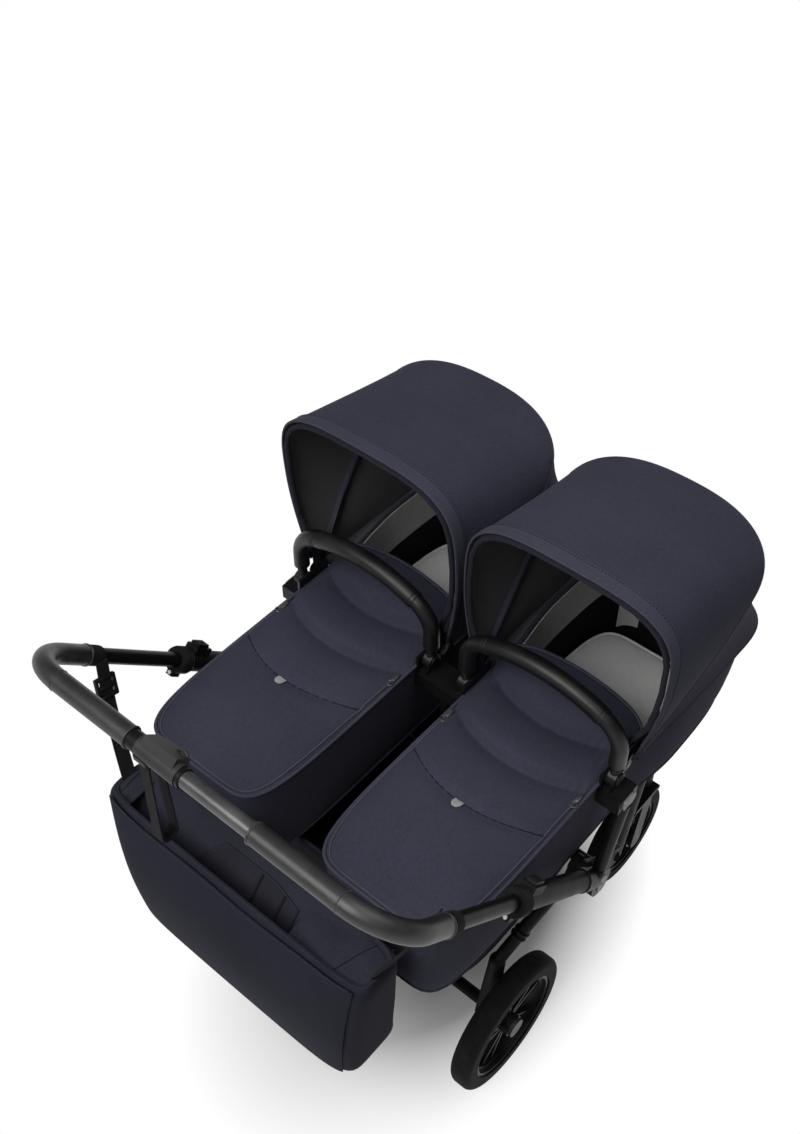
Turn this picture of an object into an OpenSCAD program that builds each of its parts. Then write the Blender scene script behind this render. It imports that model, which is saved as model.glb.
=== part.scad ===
// Side by side double stroller with two carrycots, in millimetres.
// X is the pusher's right, Y the way it travels and Z is up.
// The origin lies on the floor under the middle of the stroller.

/* [Frame] */
// Height of the main hinge above the floor
hinge_z = 520; // [460:5:580]
// Place of the main hinge along the stroller
hinge_y = -12; // [-40:1:20]
// Half the spacing of the two handle arms
arm_x = 360; // [345:1:380]
// Lean of the handle arms back from upright, in degrees
arm_tilt = 46; // [36:1:56]
// Length from the main hinge to the middle of the crossbar
arm_length = 711; // [640:1:780]
// Radius of the handle tube
tube_r = 13; // [11:0.5:15]
// Radius of the corner bends of the handlebar
bend_r = 85; // [60:1:110]
// Radius of the leg tubes
leg_r = 12; // [10:0.5:14]
// Radius of the telescoping sleeves
sleeve_r = 19; // [17:0.5:21]
// Where a sleeve's mouth lies along the arm
sleeve_end = 342; // [300:1:380]
// How far the handle tube reaches into its sleeve
sleeve_grip = 150; // [120:5:180]
// Radius of the main hinge pin
pin_r = 7; // [5:0.5:9]
// How far the seat beam lies before the main hinge
beam_ahead = 47; // [40:1:55]
// How far the seat beam lies below the main hinge
beam_drop = 50; // [46:1:60]

/* [Handlebar] */
// Radius of the padded grips
grip_r = 17; // [15:0.5:19]
// Length of bare crossbar on each side of the middle
grip_gap = 118; // [100:1:140]
// Length of a grip along the arm, from the crossbar
grip_reach = 141; // [120:1:170]
// Middle of the width clamp along the crossbar
clamp_x = -59; // [-75:1:-50]
// Length of the width clamp
clamp_l = 80; // [50:1:84]
// Length of the wrist strap's loop
strap_drop = 195; // [120:5:220]

/* [Wheels] */
// Radius of a rear wheel
rear_r = 142; // [125:1:155]
// Radius of a front wheel
front_r = 118; // [100:1:125]
// Half the rear track
rear_x = 308; // [304:1:320]
// Place of the rear axle along the stroller
rear_y = -152; // [-175:1:-130]
// Half the front track
front_x = 240; // [232:1:246]
// Place of the front axle along the stroller
front_y = 345; // [330:1:365]
// Trail of a front wheel behind its swivel
trail = 45; // [35:1:60]
// Width of a rear tyre
rear_w = 44; // [36:1:46]
// Width of a front tyre
front_w = 40; // [32:1:42]
// Radial thickness of a tyre
tyre_t = 32; // [24:1:36]
// Number of spoke pairs in a wheel
spokes = 5; // [4:1:8]
// Radius of the axles
axle_r = 6; // [5:0.5:8]

/* [Carrycots] */
// Half the spacing of the two carrycots
cot_x = 190; // [186:1:194]
// Height of a carrycot's rim
rim_z = 728; // [710:1:760]
// Height of a carrycot's underside
cot_base_z = 492; // [480:1:500]
// Foot end of a carrycot
foot_y = -379; // [-384:1:-350]
// Head end of a carrycot
head_y = 530; // [500:1:560]
// Half width of a carrycot over its foot
cot_half = 138; // [130:1:142]
// Half width of a carrycot at its head
head_half = 157; // [150:1:160]
// Wall of a carrycot's shell
cot_wall = 8; // [5:0.5:12]
// Thickness of a mattress
mattress_t = 64; // [30:1:75]
// Gap between a mattress and its carrycot's head
mattress_gap = 60; // [10:1:90]
// Head edge of the padded apron
apron_y = 150; // [100:1:165]
// Crown of the padded apron over its edge
apron_crown = 34; // [15:1:45]
// Depth of the apron's quilting channels
channel_d = 9; // [0:0.5:12]

/* [Handles and hoods] */
// Place of a carry handle's pivot along the stroller
handle_y = 38; // [30:1:45]
// Height of the pivots over the rim
pivot_rise = 10; // [8:0.5:14]
// Height of a carry handle over its pivot
handle_h = 147; // [120:1:170]
// Rise of a carry handle's grip over its ends
handle_sag = 24; // [12:1:36]
// Half width between the ends of a carry handle's grip
handle_grip_half = 115; // [95:1:120]
// Radius of a carry handle's grip
handle_grip_r = 16; // [13:0.5:19]
// Place of a hood's pivot along the stroller
hood_y = 71; // [68:1:80]
// Height of a hood's front bow over its pivot
hood_front_r = 375; // [340:1:400]
// Reach of a hood's middle rib from its pivot
hood_rib_r = 450; // [420:1:460]
// Reach of a hood's back edge from its pivot
hood_back_r = 470; // [464:1:480]
// Lean of the middle rib from upright, in degrees
rib_angle = 45; // [38:1:50]
// Half width of a hood over its bows
hood_half = 190; // [180:1:196]
// Half width of a hood's back edge
hood_back_half = 166; // [164:1:172]
// Outward lean of a hood's crown
hood_lean = 14; // [10:1:18]
// Thickness of a hood's cloth
hood_t = 2.5; // [1.5:0.5:4]

/* [Bag and basket] */
// Half width of the bag at its top
bag_top_half = 280; // [250:1:290]
// Half width of the bag at its foot
bag_foot_half = 246; // [220:1:260]
// Height of the bag's top
bag_top_z = 716; // [680:1:730]
// Height of the bag's foot
bag_foot_z = 386; // [370:1:420]
// Back face of the bag
bag_back_y = -506; // [-514:1:-500]
// Bulge of the bag's back face
bag_bulge = 12; // [0:1:16]
// Depth of the bag at its top
bag_top_d = 102; // [85:1:104]
// Depth of the bag at its foot
bag_foot_d = 132; // [110:1:134]
// Half width of the basket
basket_half = 242; // [220:1:244]
// Height of the basket's underside
basket_z = 240; // [220:1:280]
// Back of the basket
basket_back_y = -248; // [-270:1:-230]
// Front of the basket
basket_front_y = 225; // [200:1:235]

/* [Clearances] */
// Radial running clearance of a pin in its bore
run_fit = 0.05; // [0.02:0.01:0.1]
// Side gap between pieces that turn on each other
side_gap = 0.5; // [0.3:0.1:1]
// Gap between a soft piece and its seat
seat_gap = 0.3; // [0.3:0.1:0.5]
// Gap around a button in its pocket
button_gap = 0.5; // [0.3:0.1:0.8]

/* [Hidden] */
$fn = 48;
black = [0.06, 0.06, 0.065];
soft_black = [0.1, 0.1, 0.105];
leather = [0.16, 0.16, 0.17];
navy = [0.17, 0.17, 0.23];
navy_light = [0.22, 0.22, 0.28];
grey = [0.42, 0.42, 0.43];

// Stack of the main hinge along X, from the arm inwards
lug_t = 11;
plate_t = 12;
elbow_x0 = arm_x - 4;
elbow_x1 = arm_x + 18;
front_lug_x1 = elbow_x0 - side_gap;
front_lug_x0 = front_lug_x1 - lug_t;
plate_x1 = front_lug_x0 - side_gap;
plate_x0 = plate_x1 - plate_t;
rear_lug_x1 = plate_x0 - side_gap;
rear_lug_x0 = rear_lug_x1 - lug_t;
pin_head_x1 = rear_lug_x0 - side_gap;
pin_head_t = 4;
pin_head_r = pin_r + 4;
lug_r = 22;
elbow_r = 28;
stub_end = 62;
lug_reach = 46;
beam_plate_r = 17;
front_lug_reach = norm([beam_ahead, beam_drop]) + beam_plate_r + leg_r + 3;
beam_y = hinge_y + beam_ahead;
beam_z = hinge_z - beam_drop;

// Rear leg foot and front swivel
rear_housing_x = rear_x - rear_w/2 - 8;
housing_w = 24;
knuckle_r = leg_r + 3;
leg_foot = [rear_housing_x - housing_w + knuckle_r, rear_y + 15, rear_r + 158];
swivel_y = front_y + trail;
crown_z = 2*front_r + 5;
crown_t = 9;
socket_z0 = crown_z + crown_t + side_gap;
socket_h = 60;
socket_r = 20;
stem_r = 8;
cross_z = rear_r + 8;
fork_gap = front_w/2 + 4.5;
fork_t = 8;
fork_r = 17;
fork_ahead = 16;
fork_behind = 26;

// Carrycot fittings
pivot_z = rim_z + pivot_rise;
bracket_x0 = cot_half - 1 + seat_gap;
bracket_t = 5;
bracket_x1 = bracket_x0 + bracket_t;
handle_disc_x0 = bracket_x1 + side_gap;
handle_disc_t = 17;
handle_post_x = handle_disc_x0 + handle_disc_t/2;
handle_pin_r = 5;
handle_disc_r = 15;
handle_neck_r = 8.2;
handle_neck_h = 30;
handle_flare = 6;
handle_arm_r = handle_grip_r - 1.5;
hood_disc_t = 6;
bow_disc_x0 = bracket_x1 + side_gap;
rib_disc_x0 = bow_disc_x0 + hood_disc_t + side_gap;
hood_pin_r = 4;
hood_disc_r = 12;
bow_r = 5;
bow_start = 52;
bow_lug_r = 7;
bow_clear = 2;
hood_base_x = rib_disc_x0 + hood_disc_t + 5;
hood_base_r = 20;
hood_front_angle = -2.5;
hood_back_angle = 92;
back_sag = 0.04;
sag_run = 120;
adaptor_z1 = pivot_z - 22;
adaptor_h = 30;
adaptor_y0 = handle_y - 26;
adaptor_y1 = handle_y + 26;
adaptor_x0 = cot_x + bracket_x0;
adaptor_x1 = arm_x + 12;
bracket_z0 = adaptor_z1 + seat_gap;
bracket_edge = 20;
shelf_t = 5;
shelf_w = 14;
cap_h = 12;
cap_l = 34;
basket_rim_z = beam_z - leg_r - seat_gap;
grip_end = arm_length - grip_reach;
strap_ring_l = 26;
strap_loop_w = 20;
loop_top_r = 13;
loop_foot_r = 16;
loop_t = 3;
bag_wall = 8;
strap_ring_t = 4;
strap_w = 22;
strap_t = 5;
bag_strap_u = grip_end - strap_ring_l/2 - 2;
clamp_r = 17;
lever_u = 296;

function lerp(a, b, t) = a + (b - a)*t;
function ease(t) = let (c = max(0, min(1, t))) c*c*(3 - 2*c);
function bend(c, n) = sign(c)*pow(abs(c), 2/n);

// Closed solid through a list of rings with equally many points
module loft(rings) {
    n = len(rings[0]);
    m = len(rings);
    function middle(r) = [for (k = [0:2]) let (v = [for (p = r) p[k]]) (min(v) + max(v))/2];
    pts = concat([for (r = rings) each r], [middle(rings[0]), middle(rings[m - 1])]);
    sides = [for (k = [0:m - 2], i = [0:n - 1])
        let (a = k*n + i, b = k*n + (i + 1)%n, c = a + n, d = b + n)
        each [[a, d, b], [a, c, d]]];
    low = [for (i = [0:n - 1]) [m*n, i, (i + 1)%n]];
    high = [for (i = [0:n - 1]) [m*n + 1, (m - 1)*n + (i + 1)%n, (m - 1)*n + i]];
    polyhedron(points = pts, faces = concat(low, sides, high));
}

// Closed solid between two grids of equal size, rows along Y and columns along X
module slab(top, bottom) {
    m = len(top);
    n = len(top[0]);
    o = m*n;
    pts = concat([for (r = top) each r], [for (r = bottom) each r]);
    function at(j, i) = j*n + i;
    faces_top = [for (j = [0:m - 2], i = [0:n - 2])
        let (a = at(j, i), b = at(j, i + 1), c = at(j + 1, i + 1), d = at(j + 1, i))
        each [[a, d, c], [a, c, b]]];
    faces_low = [for (f = faces_top) [f[0] + o, f[2] + o, f[1] + o]];
    front = [for (i = [0:n - 2]) let (a = at(0, i), b = at(0, i + 1))
        each [[a, b, b + o], [a, b + o, a + o]]];
    back = [for (i = [0:n - 2]) let (a = at(m - 1, i), b = at(m - 1, i + 1))
        each [[a, b + o, b], [a, a + o, b + o]]];
    left = [for (j = [0:m - 2]) let (a = at(j, 0), d = at(j + 1, 0))
        each [[d, a, a + o], [d, a + o, d + o]]];
    right = [for (j = [0:m - 2]) let (a = at(j, n - 1), d = at(j + 1, n - 1))
        each [[d, a + o, a], [d, d + o, a + o]]];
    polyhedron(points = pts, faces = concat(faces_top, faces_low, front, back, left, right));
}

// Tube of radius r along a path whose bends all turn about one side direction
module tube(path, r, side = [0, 1, 0], n = 12) {
    m = len(path);
    function tangent(k) = let (d = path[min(k + 1, m - 1)] - path[max(k - 1, 0)]) d/norm(d);
    loft([for (k = [0:m - 1])
        let (t = tangent(k), e = cross(t, side), f = e/norm(e))
        [for (i = [0:n - 1]) path[k] + r*(cos(360*i/n)*side + sin(360*i/n)*f)]]);
}

// Round bar between two points
module bar(a, b, r) {
    d = b - a;
    translate(a)
        rotate([0, acos(d[2]/norm(d)), atan2(d[1], d[0])])
        cylinder(r = r, h = norm(d));
}

// Cylinder along X from x0 to x1
module xcyl(x0, x1, r) {
    translate([x0, 0, 0]) rotate([0, 90, 0]) cylinder(r = r, h = x1 - x0);
}

module box(a, b) {
    translate(a) cube(b - a);
}

// Children as drawn for the right side, or their mirror image
module sided(s) {
    if (s > 0) children();
    else mirror([1, 0, 0]) children();
}

// Children drawn with the arms along Z and the hinge at the origin
module on_arms() {
    translate([0, hinge_y, hinge_z]) rotate([arm_tilt, 0, 0]) children();
}

// Plate shaped like a slot between two points of the YZ plane, from x0 to x1
module slot_plate(a, b, r, x0, x1) {
    d = b - a;
    translate([x0, a[0], a[1]])
        rotate([atan2(d[1], d[0]), 0, 0])
        rotate([90, 0, 90])
        linear_extrude(x1 - x0) {
            circle(r);
            translate([0, -r]) square([norm(d), 2*r]);
            translate([norm(d), 0]) circle(r);
        }
}

// Frame pieces

module main_hinge(s) {
    foot = [arm_x + 6, hinge_y, hinge_z];
    top = [arm_x + 6, handle_y, adaptor_z1 - adaptor_h];
    color(black) sided(s) {
        translate([0, hinge_y, hinge_z]) {
            xcyl(elbow_x0, elbow_x1, elbow_r);
            xcyl(pin_head_x1 - pin_head_t, elbow_x0 + 1, pin_r);
            xcyl(pin_head_x1 - pin_head_t, pin_head_x1, pin_head_r);
        }
        intersection() {
            union() {
                on_arms() translate([arm_x, 0, 0]) cylinder(r = sleeve_r + 2, h = stub_end);
                bar(foot, top + (top - foot)*0.2, 12);
            }
            union() {
                box([elbow_x0, hinge_y - 90, hinge_z - 60], [arm_x + 40, handle_y + 60, top[2]]);
                on_arms() box([arm_x - 40, -60, lug_reach], [arm_x + 40, 60, stub_end + 20]);
            }
        }
    }
}

module sleeve(s) {
    color(soft_black) sided(s) on_arms() difference() {
        union() {
            translate([arm_x, 0, stub_end]) cylinder(r = sleeve_r, h = sleeve_end - stub_end);
            translate([arm_x, 0, sleeve_end - 26]) cylinder(r = sleeve_r + 4, h = 26);
            box([arm_x - 13, 10, lever_u - 22], [arm_x + 13, sleeve_r + 11, lever_u + 19]);
            box([arm_x - 7, -sleeve_r - 11, sleeve_end - 20], [arm_x + 7, -sleeve_r + 2, sleeve_end]);
        }
        translate([arm_x, 0, sleeve_end - sleeve_grip - 60])
            cylinder(r = tube_r + run_fit, h = sleeve_grip + 100);
        box([arm_x - 9 - button_gap, sleeve_r + 7, lever_u - 14 - button_gap],
            [arm_x + 9 + button_gap, sleeve_r + 30, lever_u + 14 + button_gap]);
    }
}

module thumb_lever(s) {
    color(black) sided(s) on_arms()
        box([arm_x - 9, sleeve_r + 10.5, lever_u - 14], [arm_x + 9, sleeve_r + 17, lever_u + 14]);
}

module seat_beam() {
    color(black) {
        translate([0, beam_y, beam_z]) xcyl(-plate_x0, plate_x0, leg_r);
        for (s = [-1, 1]) sided(s) difference() {
            slot_plate([beam_y, beam_z], [hinge_y, hinge_z], beam_plate_r, plate_x0, plate_x1);
            translate([0, hinge_y, hinge_z]) xcyl(plate_x0 - 1, plate_x1 + 1, pin_r + run_fit);
        }
    }
}

module rear_leg(s) {
    down = [leg_foot[1] - hinge_y, leg_foot[2] - hinge_z];
    dir = down/norm(down);
    start = [rear_lug_x0 - 3, hinge_y + dir[0]*lug_reach, hinge_z + dir[1]*lug_reach];
    color(black) sided(s) {
        difference() {
            slot_plate([hinge_y, hinge_z], [start[1], start[2]], lug_r, rear_lug_x0, rear_lug_x1);
            translate([0, hinge_y, hinge_z]) xcyl(rear_lug_x0 - 1, rear_lug_x1 + 1, pin_r + run_fit);
        }
        bar(start, leg_foot, leg_r);
        hull() {
            translate(leg_foot) sphere(r = knuckle_r, $fn = 32);
            translate([0, rear_y, rear_r])
                xcyl(rear_housing_x - housing_w, rear_housing_x, 22, $fn = 32);
        }
        translate([0, rear_y, rear_r]) {
            xcyl(rear_housing_x - housing_w, rear_housing_x, 22);
            xcyl(rear_housing_x - 1, rear_x + rear_w/2 - 4, axle_r);
        }
    }
}

module rear_crossbar() {
    color(black) translate([0, rear_y, cross_z])
        xcyl(-rear_housing_x + housing_w, rear_housing_x - housing_w, leg_r);
}

module brake_pedal() {
    color(soft_black) difference() {
        translate([0, rear_y, cross_z]) {
            xcyl(90, 150, leg_r + 7);
            rotate([-18, 0, 0]) box([92, -70, -5], [148, -leg_r, 4]);
        }
        translate([0, rear_y, cross_z]) xcyl(80, 160, leg_r + run_fit);
    }
}

module front_leg(s) {
    foot = [front_x, swivel_y - 6, socket_z0 + socket_h - leg_r - 4];
    down = [foot[1] - hinge_y, foot[2] - hinge_z];
    dir = down/norm(down);
    mid = (front_lug_x0 + front_lug_x1)/2;
    start = [mid, hinge_y + dir[0]*front_lug_reach, hinge_z + dir[1]*front_lug_reach];
    color(black) sided(s) difference() {
        union() {
            slot_plate([hinge_y, hinge_z], [start[1], start[2]], lug_r, front_lug_x0, front_lug_x1);
            bar(start, foot, leg_r);
            translate([front_x, swivel_y, socket_z0]) cylinder(r = socket_r, h = socket_h);
            box([front_x - socket_r - 6, swivel_y - leg_r - 2, socket_z0 + socket_h - 2*leg_r - 8],
                [front_x, swivel_y + leg_r + 2, socket_z0 + socket_h - 4]);
        }
        translate([0, hinge_y, hinge_z]) xcyl(front_lug_x0 - 1, front_lug_x1 + 1, pin_r + run_fit);
        translate([front_x, swivel_y, socket_z0 - 1])
            cylinder(r = stem_r + run_fit, h = socket_h - 9);
    }
}

module front_crossbar() {
    color(black) translate([0, swivel_y, socket_z0 + socket_h - leg_r - 6])
        xcyl(-front_x + socket_r + 6, front_x - socket_r - 6, leg_r);
}

module caster_fork(s) {
    color(black) sided(s) translate([front_x, 0, 0]) {
        translate([0, swivel_y, crown_z]) cylinder(r = stem_r, h = crown_t + socket_h - 12);
        box([-fork_gap - fork_t, front_y - fork_behind, crown_z],
            [fork_gap + fork_t, swivel_y + fork_ahead, crown_z + crown_t]);
        for (k = [-1, 1]) {
            x0 = k > 0 ? fork_gap : -fork_gap - fork_t;
            slot_plate([front_y, front_r], [front_y + fork_ahead, crown_z - 8], fork_r, x0, x0 + fork_t);
        }
        translate([0, front_y, front_r]) xcyl(-fork_gap - 1, fork_gap + 1, axle_r);
    }
}

// Wheels, drawn around the X axis

module tyre(r, w) {
    c = w*0.3;
    rotate([0, 90, 0]) rotate_extrude($fn = 96) {
        translate([r - tyre_t, -w/2]) square([tyre_t - c, w]);
        translate([r - c - 1, -w/2 + c]) square([c + 1, w - 2*c]);
        for (k = [-1, 1]) translate([r - c, k*(w/2 - c)]) circle(c);
    }
}

module spoked_rim(r, w, hub_w) {
    ro = r - tyre_t - run_fit;
    difference() {
        union() {
            rotate([0, 90, 0]) rotate_extrude($fn = 96) {
                translate([ro - 7, -w*0.42]) square([7, w*0.84]);
                translate([ro - 14, -w*0.22]) square([8, w*0.44]);
            }
            xcyl(-hub_w/2, hub_w/2, 21);
            for (k = [0:spokes - 1], d = [-1, 1])
                rotate([k*360/spokes + d*9, 0, 0])
                translate([0, -d*1.5, 0]) box([-5, -2.5, 16], [5, 2.5, ro - 9]);
        }
        xcyl(-hub_w, hub_w, axle_r + run_fit);
    }
}

module rear_tyre(s) {
    color(black) sided(s) translate([rear_x, rear_y, rear_r]) tyre(rear_r, rear_w);
}

module rear_rim(s) {
    color(soft_black) sided(s) translate([rear_x, rear_y, rear_r]) spoked_rim(rear_r, rear_w, rear_w - 4);
}

module rear_hubcap(s) {
    color(black) sided(s) translate([rear_x + rear_w/2 - 2, rear_y, rear_r]) difference() {
        xcyl(0, 7, 19);
        xcyl(-1, 3, axle_r + 1);
    }
}

module front_tyre(s) {
    color(black) sided(s) translate([front_x, front_y, front_r]) tyre(front_r, front_w);
}

module front_rim(s) {
    color(soft_black) sided(s) translate([front_x, front_y, front_r])
        spoked_rim(front_r, front_w, 2*fork_gap - 2*side_gap);
}

// Adaptors

module adaptor(s) {
    cy = (adaptor_y0 + adaptor_y1)/2;
    cz = adaptor_z1 - adaptor_h/2;
    color(black) sided(s) difference() {
        box([adaptor_x0, adaptor_y0, adaptor_z1 - adaptor_h], [adaptor_x1, adaptor_y1, adaptor_z1]);
        slot_plate([cy - cap_l/2 + cap_h - 2, cz], [cy + cap_l/2 - cap_h + 2, cz], cap_h + button_gap,
            adaptor_x1 - 7, adaptor_x1 + 1);
    }
}

module release_cap(s) {
    cy = (adaptor_y0 + adaptor_y1)/2;
    cz = adaptor_z1 - adaptor_h/2;
    color(grey) sided(s)
        slot_plate([cy - cap_l/2 + cap_h - 2, cz], [cy + cap_l/2 - cap_h + 2, cz], cap_h,
            adaptor_x1 - 3.5, adaptor_x1 + 4);
}

module centre_adaptor() {
    w = cot_x - bracket_x0;
    cut = 3*leg_r;
    color(black) {
        box([-w, adaptor_y0, adaptor_z1 - adaptor_h], [w, adaptor_y1, adaptor_z1]);
        difference() {
            bar([0, beam_y, beam_z], [0, handle_y, adaptor_z1 - adaptor_h/2], leg_r - 1);
            translate([0, beam_y, beam_z]) xcyl(-cut, cut, leg_r);
            box([-cut, beam_y - cut, beam_z - cut], [cut, beam_y + cut, beam_z]);
        }
    }
}

// Basket

function basket_ring(z, inset) =
    let (yc = (basket_front_y + basket_back_y)/2, ly = (basket_front_y - basket_back_y)/2 - inset)
    [for (k = [0:31]) let (a = k*360/32)
        [(basket_half - inset)*bend(cos(a), 5), yc + ly*bend(sin(a), 5), z]];

module basket() {
    color(navy) loft([
        basket_ring(basket_z, 22),
        basket_ring(basket_z + 20, 6),
        basket_ring(basket_rim_z - 30, 1),
        basket_ring(basket_rim_z, 0),
        basket_ring(basket_rim_z, 6),
        basket_ring(basket_rim_z - 30, 7),
        basket_ring(basket_z + 22, 12),
        basket_ring(basket_z + 6, 28)]);
}

// Handlebar

// The handlebar's line as a solid of radius r, from the middle round to the arm at u
module half_bar(r, x0, u) {
    translate([0, 0, arm_length]) xcyl(x0, arm_x - bend_r, r);
    translate([arm_x - bend_r, 0, arm_length - bend_r]) rotate([90, 0, 0])
        rotate_extrude(angle = 90, $fn = 64) translate([bend_r, 0]) circle(r);
    translate([arm_x, 0, u]) cylinder(r = r, h = arm_length - bend_r - u);
}

module handlebar_tube() {
    color(soft_black) on_arms() for (s = [-1, 1])
        sided(s) half_bar(tube_r, -1, sleeve_end - sleeve_grip);
}

module grip(s) {
    color(leather) on_arms() sided(s) difference() {
        half_bar(grip_r, grip_gap, grip_end);
        half_bar(tube_r + run_fit, grip_gap - 5, grip_end - 5);
    }
}

module width_clamp() {
    color(black) on_arms() translate([clamp_x, 0, arm_length]) difference() {
        union() {
            xcyl(-clamp_l/2, clamp_l/2, clamp_r);
            box([-clamp_l/2 + 8, 4, -16], [clamp_l/2 - 8, clamp_r + 5, 16]);
        }
        xcyl(-clamp_l, clamp_l, tube_r + run_fit);
    }
}

module wrist_strap() {
    bar_y = hinge_y - arm_length*sin(arm_tilt);
    bar_z = hinge_z + arm_length*cos(arm_tilt);
    color(soft_black) translate([clamp_x - 26, bar_y, bar_z - clamp_r - seat_gap]) rotate([90, 0, 90])
        translate([0, 0, -strap_loop_w/2]) linear_extrude(strap_loop_w) difference() {
            hull() {
                translate([0, -loop_top_r]) circle(loop_top_r);
                translate([0, loop_foot_r - strap_drop]) circle(loop_foot_r);
            }
            hull() {
                translate([0, -loop_top_r]) circle(loop_top_r - loop_t);
                translate([0, loop_foot_r - strap_drop]) circle(loop_foot_r - loop_t);
            }
        }
}

// Bag

function bag_back(z) = bag_back_y - bag_bulge*sin(180*(z - bag_foot_z)/(bag_top_z - bag_foot_z));
function bag_ring(z, inset) =
    let (t = (z - bag_foot_z)/(bag_top_z - bag_foot_z),
        w = lerp(bag_foot_half, bag_top_half, t) - inset,
        d = lerp(bag_foot_d, bag_top_d, t), y0 = bag_back(z) + inset, y1 = bag_back_y + d - inset)
    [for (k = [0:31]) let (a = k*360/32)
        [w*bend(cos(a), 8), (y0 + y1)/2 + (y1 - y0)/2*bend(sin(a), 6), z]];

module bag_shell() {
    color(navy) loft([
        bag_ring(bag_foot_z, 26),
        bag_ring(bag_foot_z + 12, 8),
        bag_ring(bag_foot_z + 36, 0),
        bag_ring(lerp(bag_foot_z, bag_top_z, 0.5), 0),
        bag_ring(bag_top_z - 16, 0),
        bag_ring(bag_top_z, bag_wall),
        bag_ring(bag_top_z, 2*bag_wall),
        bag_ring(bag_top_z - 16, bag_wall + 1),
        bag_ring(lerp(bag_foot_z, bag_top_z, 0.5), bag_wall + 1),
        bag_ring(bag_foot_z + 38, bag_wall + 2),
        bag_ring(bag_foot_z + 14, 34)]);
}

module bag_pocket() {
    rows = 7;
    cols = 13;
    z0 = bag_foot_z + 30;
    z1 = bag_top_z - 12;
    edge = 24;
    dip = 8;
    function spot(j, i, out) =
        let (v = j/(rows - 1), u = 2*i/(cols - 1) - 1,
            z = lerp(z0, z1 - dip*(1 - u*u), v),
            w = lerp(bag_foot_half, bag_top_half, (z - bag_foot_z)/(bag_top_z - bag_foot_z)) - edge)
        [u*w, bag_back(z) - seat_gap - out, z];
    color(navy_light) slab(
        [for (j = [0:rows - 1]) [for (i = [0:cols - 1])
            spot(j, i, 4 + 7*sin(180*i/(cols - 1))*sin(20 + 140*j/(rows - 1)))]],
        [for (j = [0:rows - 1]) [for (i = [0:cols - 1]) spot(j, i, 0)]]);
}

module bag_strap(s) {
    y = hinge_y - bag_strap_u*sin(arm_tilt);
    z = hinge_z + bag_strap_u*cos(arm_tilt);
    low = [bag_top_half - 14, bag_back_y + bag_top_d/2, bag_top_z + seat_gap];
    color(black) sided(s) {
        on_arms() translate([arm_x, 0, bag_strap_u - strap_ring_l/2]) difference() {
            union() {
                cylinder(r = tube_r + strap_ring_t, h = strap_ring_l);
                box([-tube_r - 2*strap_t, -9, 0], [-tube_r - 1, 9, strap_ring_l]);
            }
            translate([0, 0, -1]) cylinder(r = tube_r + run_fit, h = strap_ring_l + 2);
        }
        hull() {
            translate([arm_x - tube_r - 9, y, z]) cube([strap_t, strap_w, strap_t], center = true);
            translate(low + [0, 0, 1]) cube([strap_t, strap_w + 4, 2], center = true);
        }
    }
}

// Carrycots, drawn with their own middle at x = 0

cot_yc = (head_y + foot_y)/2;
cot_ly = (head_y - foot_y)/2;
function cot_wide(y) = lerp(cot_half, head_half, ease((y - 110)/190));
function cot_edge(y, inset) =
    let (t = min(1, abs(y - cot_yc)/(cot_ly - inset)))
    (cot_wide(y) - inset)*pow(max(0, 1 - pow(t, 7)), 1/7);
function cot_ring(z, inset) =
    let (m = 18, ys = [for (k = [0:m]) cot_yc - (cot_ly - inset)*cos(180*k/m)])
    concat([for (k = [0:m]) [cot_edge(ys[k], inset), ys[k], z]],
        [for (k = [m - 1:-1:1]) [-cot_edge(ys[k], inset), ys[k], z]]);

module at_cot(s) {
    sided(s) translate([cot_x, 0, 0]) children();
}

module cot_shell(s) {
    mid_z = lerp(cot_base_z, rim_z, 0.62);
    color(navy) at_cot(s) loft([
        cot_ring(cot_base_z, 48),
        cot_ring(cot_base_z + 8, 30),
        cot_ring(cot_base_z + 36, 18),
        cot_ring(mid_z, 6),
        cot_ring(rim_z - 8, 1),
        cot_ring(rim_z, 3),
        cot_ring(rim_z, 1 + cot_wall),
        cot_ring(mid_z, 6 + cot_wall),
        cot_ring(cot_base_z + 38, 18 + cot_wall),
        cot_ring(cot_base_z + 12, 40)]);
}

// The mattress leaves a gap at the head
function mattress_ring(z, inset) =
    let (m = 18, half = cot_ly - inset - mattress_gap/2, mid = cot_yc - mattress_gap/2,
        ys = [for (k = [0:m]) mid - half*cos(180*k/m)],
        xs = [for (y = ys) (cot_wide(y) - inset)*pow(max(0, 1 - pow(abs(y - mid)/half, 7)), 1/7)])
    concat([for (k = [0:m]) [xs[k], ys[k], z]], [for (k = [m - 1:-1:1]) [-xs[k], ys[k], z]]);

module mattress(s) {
    z0 = cot_base_z + 12 + seat_gap;
    color(grey) at_cot(s) loft([
        mattress_ring(z0, 45),
        mattress_ring(z0 + 10, 39),
        mattress_ring(z0 + mattress_t*0.5, 30),
        mattress_ring(z0 + mattress_t - 10, 29),
        mattress_ring(z0 + mattress_t - 2, 36),
        mattress_ring(z0 + mattress_t, 64)]);
}

seam_end = [-121, -7, 93];
seam_bow = 50;
flap_h = 22;
flap_run = 150;
function apron_top(u, y) =
    let (lift = apron_crown*pow(max(0, 1 - u*u), 0.6)*ease((y - foot_y)/120),
        cut = [for (e = seam_end) let (d = y - (e - seam_bow*(1 - u*u))) exp(-d*d/260)],
        flap = flap_h*ease((y - apron_y + flap_run)/(flap_run - 20))*(1 - 0.5*u*u))
    rim_z + seat_gap + 6 + lift + flap - channel_d*max(cut)*(1 - 0.7*pow(abs(u), 5));

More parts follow.
